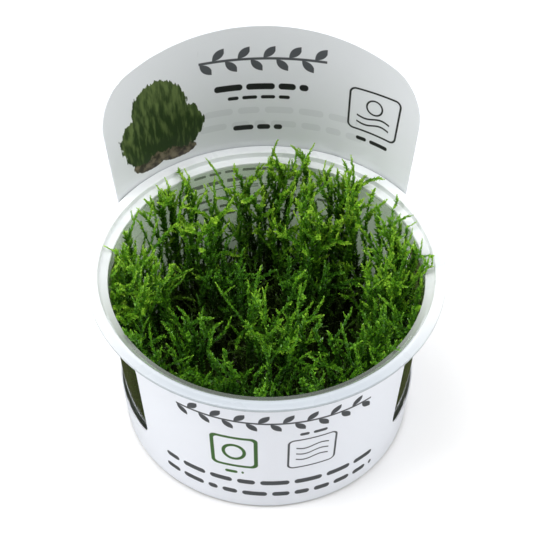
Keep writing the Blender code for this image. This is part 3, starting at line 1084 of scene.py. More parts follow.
@dataclass
class LabelSleeve:
    """The printed sheet: a band round the cup with two windows, and a header behind the rim."""

    cup: Cup
    top: float
    sheet: float = 0.35 * MM
    gap: float = 0.35 * MM
    bottom: float = 0.8 * MM
    band_top_drop: float = 3.4 * MM
    foot_radius: float = 42.95 * MM
    band_radius: float = 46.1 * MM
    top_curve: float = 79.3 * MM
    top_back: float = 50.2 * MM
    half_width: float = 50.1 * MM
    drop: float = 12.9 * MM
    corner: float = 10.3 * MM
    flare_start: float = math.radians(76)
    window_front: float = math.radians(53)
    window_back: float = math.radians(110)
    window_bottom: float = 14.0 * MM
    window_top: float = 47.7 * MM
    window_corner: float = 4.0 * MM
    cutter: Pair = (40.0 * MM, 55.0 * MM)
    arch_columns: int = 26
    corner_columns: int = 10
    band_columns: int = 96
    band_rows: int = 10
    header_rows: int = 14
    inks: Inks = field(default_factory=Inks)

    @classmethod
    def from_frame(cls, cup: Cup) -> "LabelSleeve":
        """The sleeve at the height of its node."""
        _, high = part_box("label_sleeve")
        return cls(cup=cup, top=high.z)

    @property
    def rim_radius(self) -> float:
        """The header's radius where it passes the flange."""
        return self.cup.flange + self.sheet + self.gap

    @property
    def bend(self) -> float:
        """The height where the header leaves the flange."""
        return self.cup.height - self.cup.lip

    @property
    def band_top(self) -> float:
        """The height of the band's upper edge."""
        return self.cup.height - self.band_top_drop

    @property
    def half_angle(self) -> float:
        """The angle from the back to the header's side."""
        return self.half_width / self.rim_radius

    def point(self, angle: float, height: float) -> Vector:
        """A point of the sheet's outer face.

        Args:
            angle: its angle from the back.
            height: its height.

        Returns:
            The point.
        """
        rim = self.rim_radius
        if height > self.bend:
            share = (height - self.bend) / (self.top - self.bend)
            curvature = (1.0 - share) / rim + share / self.top_curve
            back = rim + (self.top_back - rim) * share
            turn = angle * rim * curvature
            return Vector((math.sin(turn) / curvature, back - (1.0 - math.cos(turn)) / curvature, height))
        share = min(max((abs(angle) - self.flare_start) / (self.half_angle - self.flare_start), 0.0), 1.0)
        flare = share * share * (3.0 - 2.0 * share)
        up = height - self.bottom
        cone = self.foot_radius + (self.band_radius - self.foot_radius) * up / (self.band_top - self.bottom)
        lean = self.foot_radius + (rim - self.foot_radius) * up / (self.bend - self.bottom)
        radius = cone * (1.0 - flare) + lean * flare
        return Vector((radius * math.sin(angle), radius * math.cos(angle), height))

    def edge(self, step: int) -> Pair:
        """The end of a column of the header's right half, on its arched top and round corner.

        Args:
            step: the column's number from the back.

        Returns:
            Its angle from the back, and the height of its end.
        """
        arch = self.half_width - self.corner
        slope = 2.0 * self.drop * arch / self.half_width**2
        if step <= self.arch_columns:
            across = arch * step / self.arch_columns
            return across / self.rim_radius, self.top - self.drop * (across / self.half_width) ** 2
        turn = math.pi / 2 * (step - self.arch_columns) / self.corner_columns
        across = arch + self.corner * math.sin(turn)
        arch_end = self.top - self.drop * (arch / self.half_width) ** 2
        fall = 1.0 - math.cos(turn) + slope * math.sin(turn)
        return across / self.rim_radius, arch_end - self.corner * fall

    def face(self) -> bpy.types.Mesh:
        """The sheet's outer face, without its windows.

        Returns:
            The mesh of the band and of the header above it.
        """
        half = self.arch_columns + self.corner_columns
        header = []
        for step in range(-half, half + 1):
            angle, top = self.edge(abs(step))
            header.append((math.copysign(angle, step), top))
        others = evenly(self.half_angle, 2.0 * math.pi - self.half_angle, self.band_columns)[1:-1]
        heights = evenly(self.bottom, self.band_top, self.band_rows)
        draft = bmesh.new()
        band = []
        for angle in [a for a, _ in header] + others:
            from_back = angle if angle <= math.pi else angle - 2.0 * math.pi
            band.append([draft.verts.new(self.point(from_back, height)) for height in heights])
        self.join(draft, band + band[:1])
        columns = []
        for column, (angle, top) in zip(band, header):
            heights = evenly(self.bend, top, self.header_rows)
            columns.append([column[-1]] + [draft.verts.new(self.point(angle, height)) for height in heights])
        self.join(draft, columns)
        return mesh_from(draft, "sleeve_face")

    @staticmethod
    def join(draft: bmesh.types.BMesh, columns: list[list[bmesh.types.BMVert]]) -> None:
        """Fills the faces between neighbouring columns of points.

        Args:
            draft: the draft that the points are in.
            columns: the columns, all of one length.
        """
        for column, following in zip(columns, columns[1:]):
            for row in range(len(column) - 1):
                draft.faces.new((column[row], column[row + 1], following[row + 1], following[row]))

    def window_block(self, side: int) -> bpy.types.Object:
        """The block that cuts one window.

        Args:
            side: -1 for the left window, 1 for the right one.

        Returns:
            The block.
        """
        turn = self.window_corner / (sum(self.cutter) / 2.0)
        angles = (self.window_front + turn, self.window_back - turn)
        levels = (self.window_bottom + self.window_corner, self.window_top - self.window_corner)
        outline = []
        for at_back, at_top, start in ((1, 1, 0), (0, 1, 90), (0, 0, 180), (1, 0, 270)):
            middle = (angles[at_back], levels[at_top] / self.window_corner * turn)
            outline += arc(middle, turn, start, start + 90, 8)
        outline = [(angle, level / turn * self.window_corner) for angle, level in self.spread(outline)]
        hub = ((self.window_front + self.window_back) / 2.0, (self.window_bottom + self.window_top) / 2.0)
        draft = bmesh.new()
        inner, outer = ([self.beside(draft, side, out, spot) for spot in outline] for out in self.cutter)
        hub_in, hub_out = (self.beside(draft, side, out, hub) for out in self.cutter)
        for i in range(len(outline)):
            j = (i + 1) % len(outline)
            draft.faces.new((inner[i], inner[j], outer[j], outer[i]))
            draft.faces.new((inner[j], inner[i], hub_in))
            draft.faces.new((outer[i], outer[j], hub_out))
        return add_piece("window_block", mesh_from(draft, "window_block"))

    @staticmethod
    def beside(draft: bmesh.types.BMesh, side: int, out: float, spot: Pair) -> bmesh.types.BMVert:
        """A new point at a distance out from the axis, for a spot's angle from the front and its height."""
        angle, height = spot
        return draft.verts.new((side * out * math.sin(angle), -out * math.cos(angle), height))

    @staticmethod
    def spread(outline: Profile, most: float = 0.08) -> Profile:
        """Splits the long edges of an outline so that it follows the sheet's curve.

        Args:
            outline: its corners, as angles and heights.
            most: the widest angle that an edge may keep.

        Returns:
            The finer outline.
        """
        fine: Profile = []
        for i, (a, b) in enumerate(outline):
            c, d = outline[(i + 1) % len(outline)]
            parts = max(1, math.ceil(abs(c - a) / most))
            fine += [(a + (c - a) * k / parts, b + (d - b) * k / parts) for k in range(parts)]
        return fine

    def build(self) -> bpy.types.Object:
        """Makes the sheet, cuts its windows and prints its two faces.

        Returns:
            The sleeve.
        """
        sleeve = add_piece("printed_sleeve", self.face())
        thick = sleeve.modifiers.new("thickness", "SOLIDIFY")
        thick.thickness = self.sheet
        thick.offset = -1.0
        thick.use_even_offset = True
        blocks = [self.window_block(side) for side in (-1, 1)]
        for block in blocks:
            cut = sleeve.modifiers.new("window", "BOOLEAN")
            cut.operation = "DIFFERENCE"
            cut.solver = "EXACT"
            cut.object = block
        sleeve.data = baked(sleeve)
        for block in blocks:
            bpy.data.objects.remove(block)
        sleeve.data.materials.clear()
        for side, name in ((Side.OUTER, "label_print_outside"), (Side.INNER, "label_print_inside")):
            sleeve.data.materials.append(LabelPrint(self.inks, side).material(name))
        for face in sleeve.data.polygons:
            out = Vector((face.center.x, face.center.y, 0.0)).normalized()
            face.material_index = 1 if face.normal.dot(out) < -0.3 else 0
        smooth(sleeve.data)
        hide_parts("label_sleeve")
        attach(sleeve, BODY)
        return sleeve


@dataclass
class Strand:
    """One line of growth: its points, and at each how thick, leafy and full of leaf it is, and how young and
    how shaded its colour is.
    """

    points: list[Vector] = field(default_factory=list)
    girth: list[float] = field(default_factory=list)
    leafy: list[float] = field(default_factory=list)
    youth_and_shade: list[float] = field(default_factory=list)
    full: list[float] = field(default_factory=list)


@dataclass(frozen=True)
class LeafShape:
    """The size and the set of the moss's leaves, and of its stems."""

    spacing: float = 0.28 * MM
    length: float = 1.60 * MM
    width: float = 0.60
    keel: float = 0.16
    belly: float = 0.42
    flat_angle: float = math.radians(13)
    side_angle: float = math.radians(24)
    stem: float = 0.35 * MM
    stem_sides: int = 3

    def mesh(self) -> bpy.types.Mesh:
        """A folded leaf of four triangles, one unit long, that points along +Z.

        Returns:
            The leaf's mesh.
        """
        half = self.width / 2.0
        corners = [(0.0, 0.0, 0.0), (-half, 0.0, self.belly), (half, 0.0, self.belly), (0.0, self.keel, 1.0)]
        draft = bmesh.new()
        points = [draft.verts.new(corner) for corner in corners]
        for trio in ((0, 1, 3), (0, 3, 2), (0, 2, 1), (1, 2, 3)):
            draft.faces.new([points[i] for i in trio])
        return mesh_from(draft, "leaf")


class LeafTree:
    """The geometry tree that sets leaves along the strands and gives the strands their stems."""

    def __init__(self, shape: LeafShape, leaf: bpy.types.Object, material: bpy.types.Material) -> None:
        """Makes the tree.

        Args:
            shape: the sizes of the leaves and stems.
            leaf: the object that is one leaf.
            material: the moss's material.
        """
        self.shape = shape
        self.leaf = leaf
        self.material = material
        self.tree = bpy.data.node_groups.new("leafy_strands", "GeometryNodeTree")
        self.bench = Bench(self.tree)
        self.sizes = {}
        self.build()

    def add_input(self, name: str, kind: str, value: object) -> None:
        """Adds a named input to the tree and keeps its value for the modifiers."""
        item = self.tree.interface.new_socket(name, in_out="INPUT", socket_type=f"NodeSocket{kind}")
        self.sizes[item.identifier] = value

    def read(self, name: str) -> Num:
        """A strand's value at each point."""
        node = self.bench.node("GeometryNodeInputNamedAttribute", {"data_type": "FLOAT"}, {"Name": name})
        return Num(self.bench, node.outputs["Attribute"])

    def chance(self, low: float, high: float, seed: int) -> Num:
        """A random number for each point."""
        kind, sockets = {"data_type": "FLOAT"}, {2: low, 3: high, "Seed": seed}
        return Num(self.bench, self.bench.node("FunctionNodeRandomValue", kind, sockets).outputs[1])

    def turned(self, rotation: object, axis: Place, angle: Num) -> bpy.types.NodeSocket:
        """A rotation turned about one of its own axes.

        Args:
            rotation: the rotation.
            axis: the axis.
            angle: how far it is turned.

        Returns:
            The new rotation.
        """
        sockets = {"Axis": axis, "Angle": angle}
        turn = self.bench.node("FunctionNodeAxisAngleToRotation", sockets=sockets).outputs[0]
        sockets = {"Rotation": rotation, "Rotate By": turn}
        return self.bench.node("FunctionNodeRotateRotation", {"rotation_space": "LOCAL"}, sockets).outputs[0]

    def build(self) -> None:
        """Makes the tree's nodes."""
        shape, bench = self.shape, self.bench
        self.tree.interface.new_socket("Strands", in_out="INPUT", socket_type="NodeSocketGeometry")
        self.tree.interface.new_socket("Moss", in_out="OUTPUT", socket_type="NodeSocketGeometry")
        self.add_input("Leaf Spacing", "Float", shape.spacing)
        self.add_input("Leaf Length", "Float", shape.length)
        self.add_input("Flat Angle", "Float", shape.flat_angle)
        self.add_input("Side Angle", "Float", shape.side_angle)
        self.add_input("Stem Radius", "Float", shape.stem)
        self.add_input("Stem Sides", "Int", shape.stem_sides)
        self.add_input("Leaf", "Object", self.leaf)
        self.add_input("Green", "Material", self.material)
        given = bench.node("NodeGroupInput").outputs
        curve = bench.node("GeometryNodeMeshToCurve", sockets={0: given["Strands"]}).outputs[0]
        both = bench.node("GeometryNodeJoinGeometry")
        bench.feed(both.inputs[0], self.stems(given, curve))
        bench.feed(both.inputs[0], self.leaves(given, curve))
        real = bench.node("GeometryNodeRealizeInstances", sockets={0: both.outputs[0]}).outputs[0]
        done = bench.node("GeometryNodeSetMaterial", sockets={"Geometry": real, "Material": given["Green"]})
        bench.node("NodeGroupOutput", sockets={0: done.outputs[0]})

    def stems(self, given: bpy.types.NodeOutputs, curve: bpy.types.NodeSocket) -> bpy.types.NodeSocket:
        """The stems, as thin tubes along the strands.

        Args:
            given: the tree's inputs.
            curve: the strands.

        Returns:
            The tubes.
        """
        ring = {"Resolution": given["Stem Sides"], "Radius": given["Stem Radius"]}
        ring = self.bench.node("GeometryNodeCurvePrimitiveCircle", sockets=ring).outputs[0]
        sockets = {"Curve": curve, "Profile Curve": ring, "Scale": self.read("girth"), "Fill Caps": True}
        return self.keep("tone", self.bench.node("GeometryNodeCurveToMesh", sockets=sockets).outputs[0], 0.2)

    def leaves(self, given: bpy.types.NodeOutputs, curve: bpy.types.NodeSocket) -> bpy.types.NodeSocket:
        """The leaves, set round the strands so that they lie close on two faces and stand out at the sides.

        Args:
            given: the tree's inputs.
            curve: the strands.

        Returns:
            The leaves.
        """
        bench = self.bench
        sockets = {"Curve": curve, "Length": given["Leaf Spacing"]}
        even = bench.node("GeometryNodeResampleCurve", {"mode": "LENGTH"}, sockets)
        spots = bench.node("GeometryNodeCurveToPoints", {"mode": "EVALUATED"}, {"Curve": even.outputs[0]})
        points = self.keep("tone", spots.outputs["Points"], self.chance(0.0, 1.0, 5))
        index = Num(bench, bench.node("GeometryNodeInputIndex").outputs[0])
        full = self.read("full")
        spin = index * math.radians(137.5) + self.chance(-0.4, 0.4, 11)
        side = abs(spin.wave())
        open_by = Num(bench, given["Flat Angle"]) + side * side * Num(bench, given["Side Angle"])
        tilt = open_by * self.chance(0.6, 1.4, 17) * (full * 0.6 + 0.4)
        rotation = self.turned(spots.outputs["Rotation"], (0.0, 0.0, 1.0), spin)
        rotation = self.turned(rotation, (1.0, 0.0, 0.0), tilt * -1.0)
        size = Num(bench, given["Leaf Length"]) * self.chance(0.75, 1.15, 23) * full
        scale = bench.node("ShaderNodeCombineXYZ", sockets={0: size, 1: size, 2: size}).outputs[0]
        shown = bench.number("LESS_THAN", self.chance(0.0, 1.0, 29), self.read("leafy"))
        leaf = bench.node("GeometryNodeObjectInfo", sockets={"Object": given["Leaf"]}).outputs["Geometry"]
        sockets = {"Points": points, "Selection": shown, "Instance": leaf}
        sockets |= {"Rotation": rotation, "Scale": scale}
        return bench.node("GeometryNodeInstanceOnPoints", sockets=sockets).outputs[0]

    def keep(self, name: str, geometry: object, value: object) -> bpy.types.NodeSocket:
        """Stores a value on each point under a name.

        Args:
            name: the name.
            geometry: the geometry that has the points.
            value: the value.

        Returns:
            The geometry with the value.
        """
        sockets = {"Geometry": geometry, "Name": name, "Value": value}
        settings = {"data_type": "FLOAT", "domain": "POINT"}
        return self.bench.node("GeometryNodeStoreNamedAttribute", settings, sockets).outputs[0]

    def dress(self, lines: bpy.types.Mesh) -> bpy.types.Mesh:
        """Grows leaves and stems on a mesh of lines.

        Args:
            lines: the strands, with their values on the points.

        Returns:
            The mesh of the leaves and stems.
        """
        holder = add_piece("strands", lines)
        grow = holder.modifiers.new("leaves", "NODES")
        grow.node_group = self.tree
        for identifier, value in self.sizes.items():
            grow[identifier] = value
        mesh = baked(holder)
        bpy.data.objects.remove(holder)
        return mesh


@dataclass(frozen=True)
class Growth:
    """How every shoot grows. Pairs are the ends of random ranges, and lengths are in millimetres.

    A shoot gets thinner from its foot on, sways in a slow wave, hooks over near its tip, and wanders a little
    at each step. Forks leave it at an angle in degrees and curl up, and a long fork carries a twig.
    """

    foot_girth: float = 1.2
    girth_loss: float = 0.7
    foot_leafy: float = 0.45
    leafy_gain: float = 1.6
    foot_full: float = 0.62
    full_gain: float = 0.9
    tip_full: float = 0.46
    sway: Pair = (0.5, 2.2)
    waves: Pair = (4.0, 9.0)
    hook_turn: Pair = (1.0, 2.2)
    hook: Pair = (1.0, 8.5)
    hook_from: float = 0.64
    wander: float = 0.22
    wander_kept: float = 0.86
    forks: tuple[int, int] = (1, 3)
    fork_turn: Pair = (-0.7, 0.7)
    fork_place: Pair = (0.42, 0.90)
    fork_length: Pair = (6.0, 20.0)
    fork_share: float = 0.46
    fork_angle: Pair = (26.0, 76.0)
    fork_wander: float = 0.10
    fork_vigour: float = 0.84
    curl: Pair = (-0.22, 0.22)
    curl_up: Pair = (0.08, 0.42)
    twig_from: float = 11.0
    twig_chance: float = 0.15
    twig_place: Pair = (0.3, 0.75)
    twig_length: Pair = (2.5, 5.5)
    twig_vigour: float = 0.74
    tip_scatter: float = 1.2
    tall_drop: Pair = (0.0, 0.13)
    low_drop: Pair = (0.10, 0.55)
    bare_drop: Pair = (0.42, 0.80)
    vigour: Pair = (0.90, 1.16)
    sprout_height: Pair = (0.16, 0.46)
    sprout_scatter: float = 1.6
    sprout_vigour: float = 0.9
    sprout_youth_and_shade: float = 0.12
    sprout_leafy: float = 0.8
    leader_vigour: float = 1.05
    wall_jitter: Pair = (-0.2, 1.2)
    wall_scatter: float = 0.05
    wall_reach: Pair = (1.0, 4.0)
    wall_drop: Pair = (0.0, 15.0)
    wall_vigour: Pair = (0.85, 1.05)
    wall_forked: float = 0.45


@dataclass(frozen=True)
class Habit:
    """How one tuft grows, in millimetres: its lean, how open it is, how young its colour is and how much
    painted shade darkens it, and its foremost tips.
    """

    lean: Pair
    area_per_shoot: float = 8.0
    low_share: float = 0.45
    youth_and_shade: float = 1.0
    bare_wall: float = 0.0
    leaders: tuple[Place, ...] = ()
    wall_arc: Pair = (0.0, 0.0)


@dataclass
class MossTuft:
    """One tuft of moss, grown in the space of its CAD node."""

    node: str
    cup: Cup
    habit: Habit
    seed: int = 1
    growth: Growth = Growth()
    area_per_sprout: float = 5.6
    foot_level: float = 7.6 * MM
    wall_gap: float = 0.85 * MM
    ledge_gap: float = 1.2 * MM
    wall_band: float = 5.0 * MM
    bare_band: float = 11.0 * MM
    wall_spacing: float = 2.2 * MM
    step: float = 1.4 * MM
    foot_spread: float = 0.96
    tip_spread: float = 1.12
    sprout_spread: float = 1.30
    taper: float = 3.0 * MM
    fresh: float = 7.0 * MM

    def __post_init__(self) -> None:
        """Reads the tuft's place and size from the frame."""
        low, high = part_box(self.node)
        self.middle = (low + high) / 2.0
        self.half = (high - low) / 2.0
        self.top = high.z
        self.chance = random.Random(self.seed)
        self.strands: list[Strand] = []

    def kept_inside(self, point: Vector) -> Vector:
        """A point moved in where it would come too near the cup's wall, or hang over its rim.

        Args:
            point: the point.

        Returns:
            The point, or the moved one.
        """
        limit = self.cup.inner_radius(point.z - self.ledge_gap) - self.wall_gap
        out = math.hypot(point.x, point.y)
        if out <= limit:
            return point
        return Vector((point.x * limit / out, point.y * limit / out, point.z))

    def spot(self) -> Pair:
        """A random place in the tuft.

        Returns:
            How far across and how far along it is, each from -1 to 1.
        """
        while True:
            across = self.chance.uniform(-1.0, 1.0)
            along = self.chance.uniform(-1.0, 1.0)
            if abs(across) ** 2.6 + abs(along) ** 2.6 <= 1.0:
                return across, along

    def place(self, spot: Pair, spread: float, level: float) -> Vector:
        """The point of the tuft at a spot.

        Args:
            spot: how far across and along it is, each from -1 to 1.
            spread: how much wider than the tuft's own box the spots lie.
            level: the point's height.

        Returns:
            The point.
        """
        x = self.middle.x + spot[0] * self.half.x * spread
        y = self.middle.y + spot[1] * self.half.y * spread
        return Vector((x, y, level))

    def nudge(self, amount: float) -> Vector:
        """A small random push to any side."""
        return Vector([self.chance.gauss(0.0, amount) for _ in range(3)])

    def add_point(
        self, strand: Strand, point: Vector, girth: float, leafy: float, to_tip: float, full: float
    ) -> None:
        """Adds a point to a strand, whose leaves get smaller and younger towards its tip.

        Args:
            strand: the strand.
            point: the point.
            girth: how thick the stem is there.
            leafy: the share of leaves that are there.
            to_tip: how far it is to the tip.
            full: how full of leaf the strand is.
        """
        strand.points.append(self.kept_inside(point))
        strand.girth.append(girth)
        strand.leafy.append(leafy)
        height = (point.z - self.foot_level) / (self.top - self.foot_level)
        # Painted shade: the colour value is lower for points low in the tuft and for tufts whose habit is
        # below 1; the rest is how young the leaves are.
        fresh = math.exp(-to_tip / self.fresh) * min(1.0, 0.25 + height)
        strand.youth_and_shade.append(fresh * self.habit.youth_and_shade + (self.habit.youth_and_shade - 1.0) * 0.5)
        tip_full = self.growth.tip_full
        strand.full.append(full * (tip_full + (1.0 - tip_full) * min(1.0, to_tip / self.taper)))

    def main_shoot(self, foot: Vector, tip: Vector, vigour: float) -> Strand:
        """A shoot from the gel to its tip, straight at first, with a slow wander and a bend near the tip.

        Args:
            foot: where it stands in the gel.
            tip: where it would end without its sway and its hook.
            vigour: how full of leaf it is.

        Returns:
            The shoot.
        """
        chance, growth = self.chance, self.growth
        tall = (tip - foot).length
        count = max(5, round(tall / self.step))
        turn = chance.uniform(0.0, math.tau)
        phase = chance.uniform(0.0, math.tau)
        sway = Vector((math.cos(turn), math.sin(turn), 0.0)) * chance.uniform(*growth.sway) * MM
        waves = chance.uniform(*growth.waves)
        turn += chance.uniform(*growth.hook_turn)
        hook = Vector((math.cos(turn), math.sin(turn), -0.5)) * chance.uniform(*growth.hook) * MM
        drift = Vector((0.0, 0.0, 0.0))
        strand = Strand()
        for share in evenly(0.0, 1.0, count):
            spread = share**1.35
            x = foot.x + (tip.x - foot.x) * spread
            y = foot.y + (tip.y - foot.y) * spread
            point = Vector((x, y, foot.z + (tip.z - foot.z) * share))
            drift = drift * growth.wander_kept + self.nudge(growth.wander) * MM
            point += sway * math.sin(phase + share * waves) * share + drift * min(1.0, share * 2.0)
            point += hook * max(0.0, (share - growth.hook_from) / (1.0 - growth.hook_from)) ** 2
            girth = growth.foot_girth - growth.girth_loss * share
            leafy = min(1.0, growth.foot_leafy + share * growth.leafy_gain)
            full = vigour * min(1.0, growth.foot_full + share * growth.full_gain)
            self.add_point(strand, point, girth, leafy, (1.0 - share) * tall, full)
        return strand

    def branch(self, parent: Strand, share: float, side: Vector, length: float, full: float) -> Strand:
        """A side branch that leaves its parent at a share of its length and curves up.

        Args:
            parent: the strand that it grows from.
            share: where on the parent, from 0 at its foot to 1 at its tip.
            side: the direction that it opens towards.
            length: its length.
            full: how full of leaf it is.

        Returns:
            The branch.
        """
        chance, growth = self.chance, self.growth
        last = len(parent.points) - 1
        index = min(last - 1, max(1, round(share * last)))
        axis = (parent.points[index + 1] - parent.points[index - 1]).normalized()
        side = (side - axis * side.dot(axis)).normalized()
        open_by = math.radians(chance.uniform(*growth.fork_angle))
        way = axis * math.cos(open_by) + side * math.sin(open_by)
        length = min(length, (self.top - parent.points[index].z) * 1.25 + 1.6 * MM)
        count = max(3, round(length / self.step))
        curl = Vector([chance.uniform(*ends) for ends in (growth.curl, growth.curl, growth.curl_up)])
        strand = Strand()
        point = parent.points[index].copy()
        for gone in evenly(0.0, 1.0, count):
            girth = parent.girth[index] * (0.85 - 0.3 * gone)
            self.add_point(strand, point, girth, 1.0, (1.0 - gone) * length, full)
            way = (way + curl + self.nudge(growth.fork_wander)).normalized()
            point = point + way * (length / count)
        return strand

    def grow_shoot(self, foot: Vector, tip: Vector, vigour: float) -> None:
        """A main shoot with forked branches, like antlers, on its upper part.

        Args:
            foot: where it stands in the gel.
            tip: where it would end without its sway and its hook.
            vigour: how full of leaf it is.
        """
        chance, growth = self.chance, self.growth
        main = self.main_shoot(foot, tip, vigour)
        self.strands.append(main)
        tall = (tip - foot).length
        turn = chance.uniform(0.0, math.tau)
        for _ in range(chance.randint(*growth.forks)):
            turn += math.pi + chance.uniform(*growth.fork_turn)
            side = Vector((math.cos(turn), math.sin(turn), 0.0))
            share = chance.uniform(*growth.fork_place)
            length = min(chance.uniform(*growth.fork_length) * MM, tall * growth.fork_share)
            fork = self.branch(main, share, side, length, vigour * growth.fork_vigour)
            self.strands.append(fork)
            if length > growth.twig_from * MM or chance.random() < growth.twig_chance:
                share = chance.uniform(*growth.twig_place)
                length = chance.uniform(*growth.twig_length) * MM
                twig = self.branch(fork, share, side * -1.0, length, vigour * growth.twig_vigour)
                self.strands.append(twig)

    def grow_sprout(self) -> None:
        """A short old shoot low down, which closes the tuft at its foot."""
        chance, growth = self.chance, self.growth
        spot = self.spot()
        foot = self.kept_inside(self.place(spot, self.sprout_spread, self.foot_level))
        height = self.foot_level + chance.uniform(*growth.sprout_height) * (self.top - self.foot_level)
        tip = self.place(spot, self.sprout_spread * 1.04, height)
        tip += Vector([chance.gauss(0.0, growth.sprout_scatter) for _ in range(2)] + [0.0]) * MM
        strand = self.main_shoot(foot, tip, growth.sprout_vigour)
        strand.youth_and_shade = [value * growth.sprout_youth_and_shade for value in strand.youth_and_shade]
        strand.leafy = [growth.sprout_leafy] * len(strand.points)
        self.strands.append(strand)

    def drop(self, foot: Vector) -> float:
        """How far below the tuft's top a shoot ends, which is random.

        Args:
            foot: where the shoot stands.

        Returns:
            The drop, as a share of the tuft's height.
        """
        chance, growth = self.chance, self.growth
        out = math.hypot(foot.x, foot.y)
        if out > self.cup.foot - self.bare_band and chance.random() < self.habit.bare_wall:
            return chance.uniform(*growth.bare_drop)
        if chance.random() < self.habit.low_share and out <= self.cup.foot - self.wall_band:
            return chance.uniform(*growth.low_drop)
        return chance.uniform(*growth.tall_drop)

    def grow(self) -> None:
        """Grows every shoot of the tuft."""
        chance, growth = self.chance, self.growth
        area = math.pi * self.half.x * self.half.y / MM**2
        tall = self.top - self.foot_level
        for _ in range(round(area / self.habit.area_per_shoot)):
            spot = self.spot()
            foot = self.place(spot, self.foot_spread, self.foot_level)
            tip = self.place(spot, self.tip_spread, self.top - 0.5 * MM - tall * self.drop(foot))
            tip.x += self.habit.lean[0] * MM + chance.gauss(0.0, growth.tip_scatter) * MM
            tip.y += self.habit.lean[1] * MM + chance.gauss(0.0, growth.tip_scatter) * MM
            self.grow_shoot(self.kept_inside(foot), tip, chance.uniform(*growth.vigour))
        for _ in range(round(area / self.area_per_sprout)):
            self.grow_sprout()
        self.grow_along_wall()
        for leader in self.habit.leaders:
            tip = Vector(leader) * MM
            foot = self.middle.lerp(tip, 0.85)
            foot.z = self.foot_level
            self.grow_shoot(self.kept_inside(foot), tip, growth.leader_vigour)

    def grow_along_wall(self) -> None:
        """A row of shoots against the wall, over the habit's arc, given in degrees from +X."""
        chance, growth = self.chance, self.growth
        start, end = (math.radians(angle) for angle in self.habit.wall_arc)
        radius = self.cup.foot - self.wall_gap
        count = round(abs(end - start) * radius / self.wall_spacing)
        for i in range(count):
            angle = start + (end - start) * (i + chance.uniform(*growth.wall_jitter)) / count
            foot = Vector((radius * math.cos(angle), radius * math.sin(angle), self.foot_level))
            angle += chance.gauss(0.0, growth.wall_scatter)
            reach = self.cup.collar - self.wall_gap * chance.uniform(*growth.wall_reach)
            level = self.top - chance.uniform(*growth.wall_drop) * MM
            tip = Vector((reach * math.cos(angle), reach * math.sin(angle), level))
            if chance.random() < growth.wall_forked:
                self.grow_shoot(foot, tip, chance.uniform(*growth.wall_vigour))
            else:
                self.strands.append(self.main_shoot(foot, tip, chance.uniform(*growth.wall_vigour)))

    def lines(self) -> bpy.types.Mesh:
        """Draws all strands as lines that carry their values.

        Returns:
            One mesh of all the lines.
        """
        points, edges = [], []
        values = {"girth": [], "leafy": [], "youth_and_shade": [], "full": []}
        for strand in self.strands:
            start = len(points)
            points += strand.points
            edges += [(start + i, start + i + 1) for i in range(len(strand.points) - 1)]
            for name, numbers in values.items():
                numbers += getattr(strand, name)
        mesh = bpy.data.meshes.new(f"{self.node}_lines")
        mesh.from_pydata(points, edges, [])
        for name, numbers in values.items():
            mesh.attributes.new(name, "FLOAT", "POINT").data.foreach_set("value", numbers)
        return mesh

    def build(self, leaves: LeafTree) -> bpy.types.Object:
        """Grows the tuft and puts it in place of its node.

        Args:
            leaves: the tree that grows leaves on its strands.

        Returns:
            The tuft.
        """
        self.grow()
        tuft = add_piece(f"leafy_{self.node}", leaves.dress(self.lines()))
        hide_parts(self.node)
        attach(tuft, BODY)
        return tuft


@dataclass
class Moss:
    """All tufts of the moss."""

    cup: Cup
    shape: LeafShape = field(default_factory=LeafShape)
    finish: MossGreen = field(default_factory=MossGreen)
    habits: dict[str, Habit] = field(default_factory=lambda: {
        "moss_back_left": Habit((-0.6, 0.4), 8.4, 0.40, 1.05, 0.66, (
            (-33, 33, 59), (-29, 36.5, 58.5), (-27, 38, 58), (-20.5, 38, 60),
            (-21, 34, 55), (-12, 30, 53), (-13.5, 32, 54),
        )),
        "moss_back": Habit((0.2, 0.8), 8.4, 0.38, 1.05, 0.70, (
            (-3.5, 41, 58.5), (1, 41, 58), (4, 41, 59), (6, 40, 58),
            (9.5, 41, 59.5), (-5, 37, 57), (-1, 35, 56), (3, 36, 57),
        )),
        "moss_back_right": Habit((0.8, 0.8), 7.8, 0.38, 1.05, 0.32, (
            (14, 41, 59.5), (16, 42, 60.5), (21, 38, 60), (25, 37, 60), (29, 33, 60),
        )),
        "moss_left": Habit((-1.2, 0.3), 10.5, 0.36, 0.90, 0.0, (
            (-43, 20, 56), (-45, 12, 57), (-45.5, -2, 57), (-44, -8, 56),
        ), (158.0, 197.0)),
        "moss_right": Habit((1.2, 0.3), 10.5, 0.36, 0.90, 0.0, (
            (35, 22, 59), (40, 19, 58), (42, 15, 57), (45, 7, 57), (45, -7, 56),
        ), (22.0, -17.0)),
        "moss_front_left": Habit((-1.2, -1.0), 12.5, 0.36, 0.66, 0.0, (), (197.0, 228.0)),
        "moss_front_right": Habit((1.2, -1.0), 12.5, 0.36, 0.70, 0.0, (), (-17.0, -48.0)),
        "moss_front": Habit((0.0, -1.2), 13.0, 0.42, 0.64),
        "moss_middle_left": Habit((-0.4, 0.5), 12.0, 0.70, 0.52),
        "moss_middle_right": Habit((0.4, 0.5), 13.0, 0.78, 0.50),
        "moss_centre": Habit((0.3, 0.5), 12.5, 0.42, 0.82),
    })

    def build(self) -> list[bpy.types.Object]:
        """Grows every tuft.

        Returns:
            The tufts.
        """
        leaf = add_piece("leaf", self.shape.mesh())
        leaves = LeafTree(self.shape, leaf, self.finish.material("moss_green"))
        tufts = []
        for seed, (node, habit) in enumerate(self.habits.items(), start=1):
            tuft = MossTuft(node=node, cup=self.cup, habit=habit, seed=seed)
            tufts.append(tuft.build(leaves))
            LOG.info("%s: %d faces", tufts[-1].name, len(tufts[-1].data.polygons))
        bpy.data.objects.remove(leaf)
        return tufts


@dataclass(frozen=True)
class Softbox:
    """A square soft light, in metres and watts, that points from its place at its target."""

    name: str
    place: Place
    target: Place
    size: float
    power: float


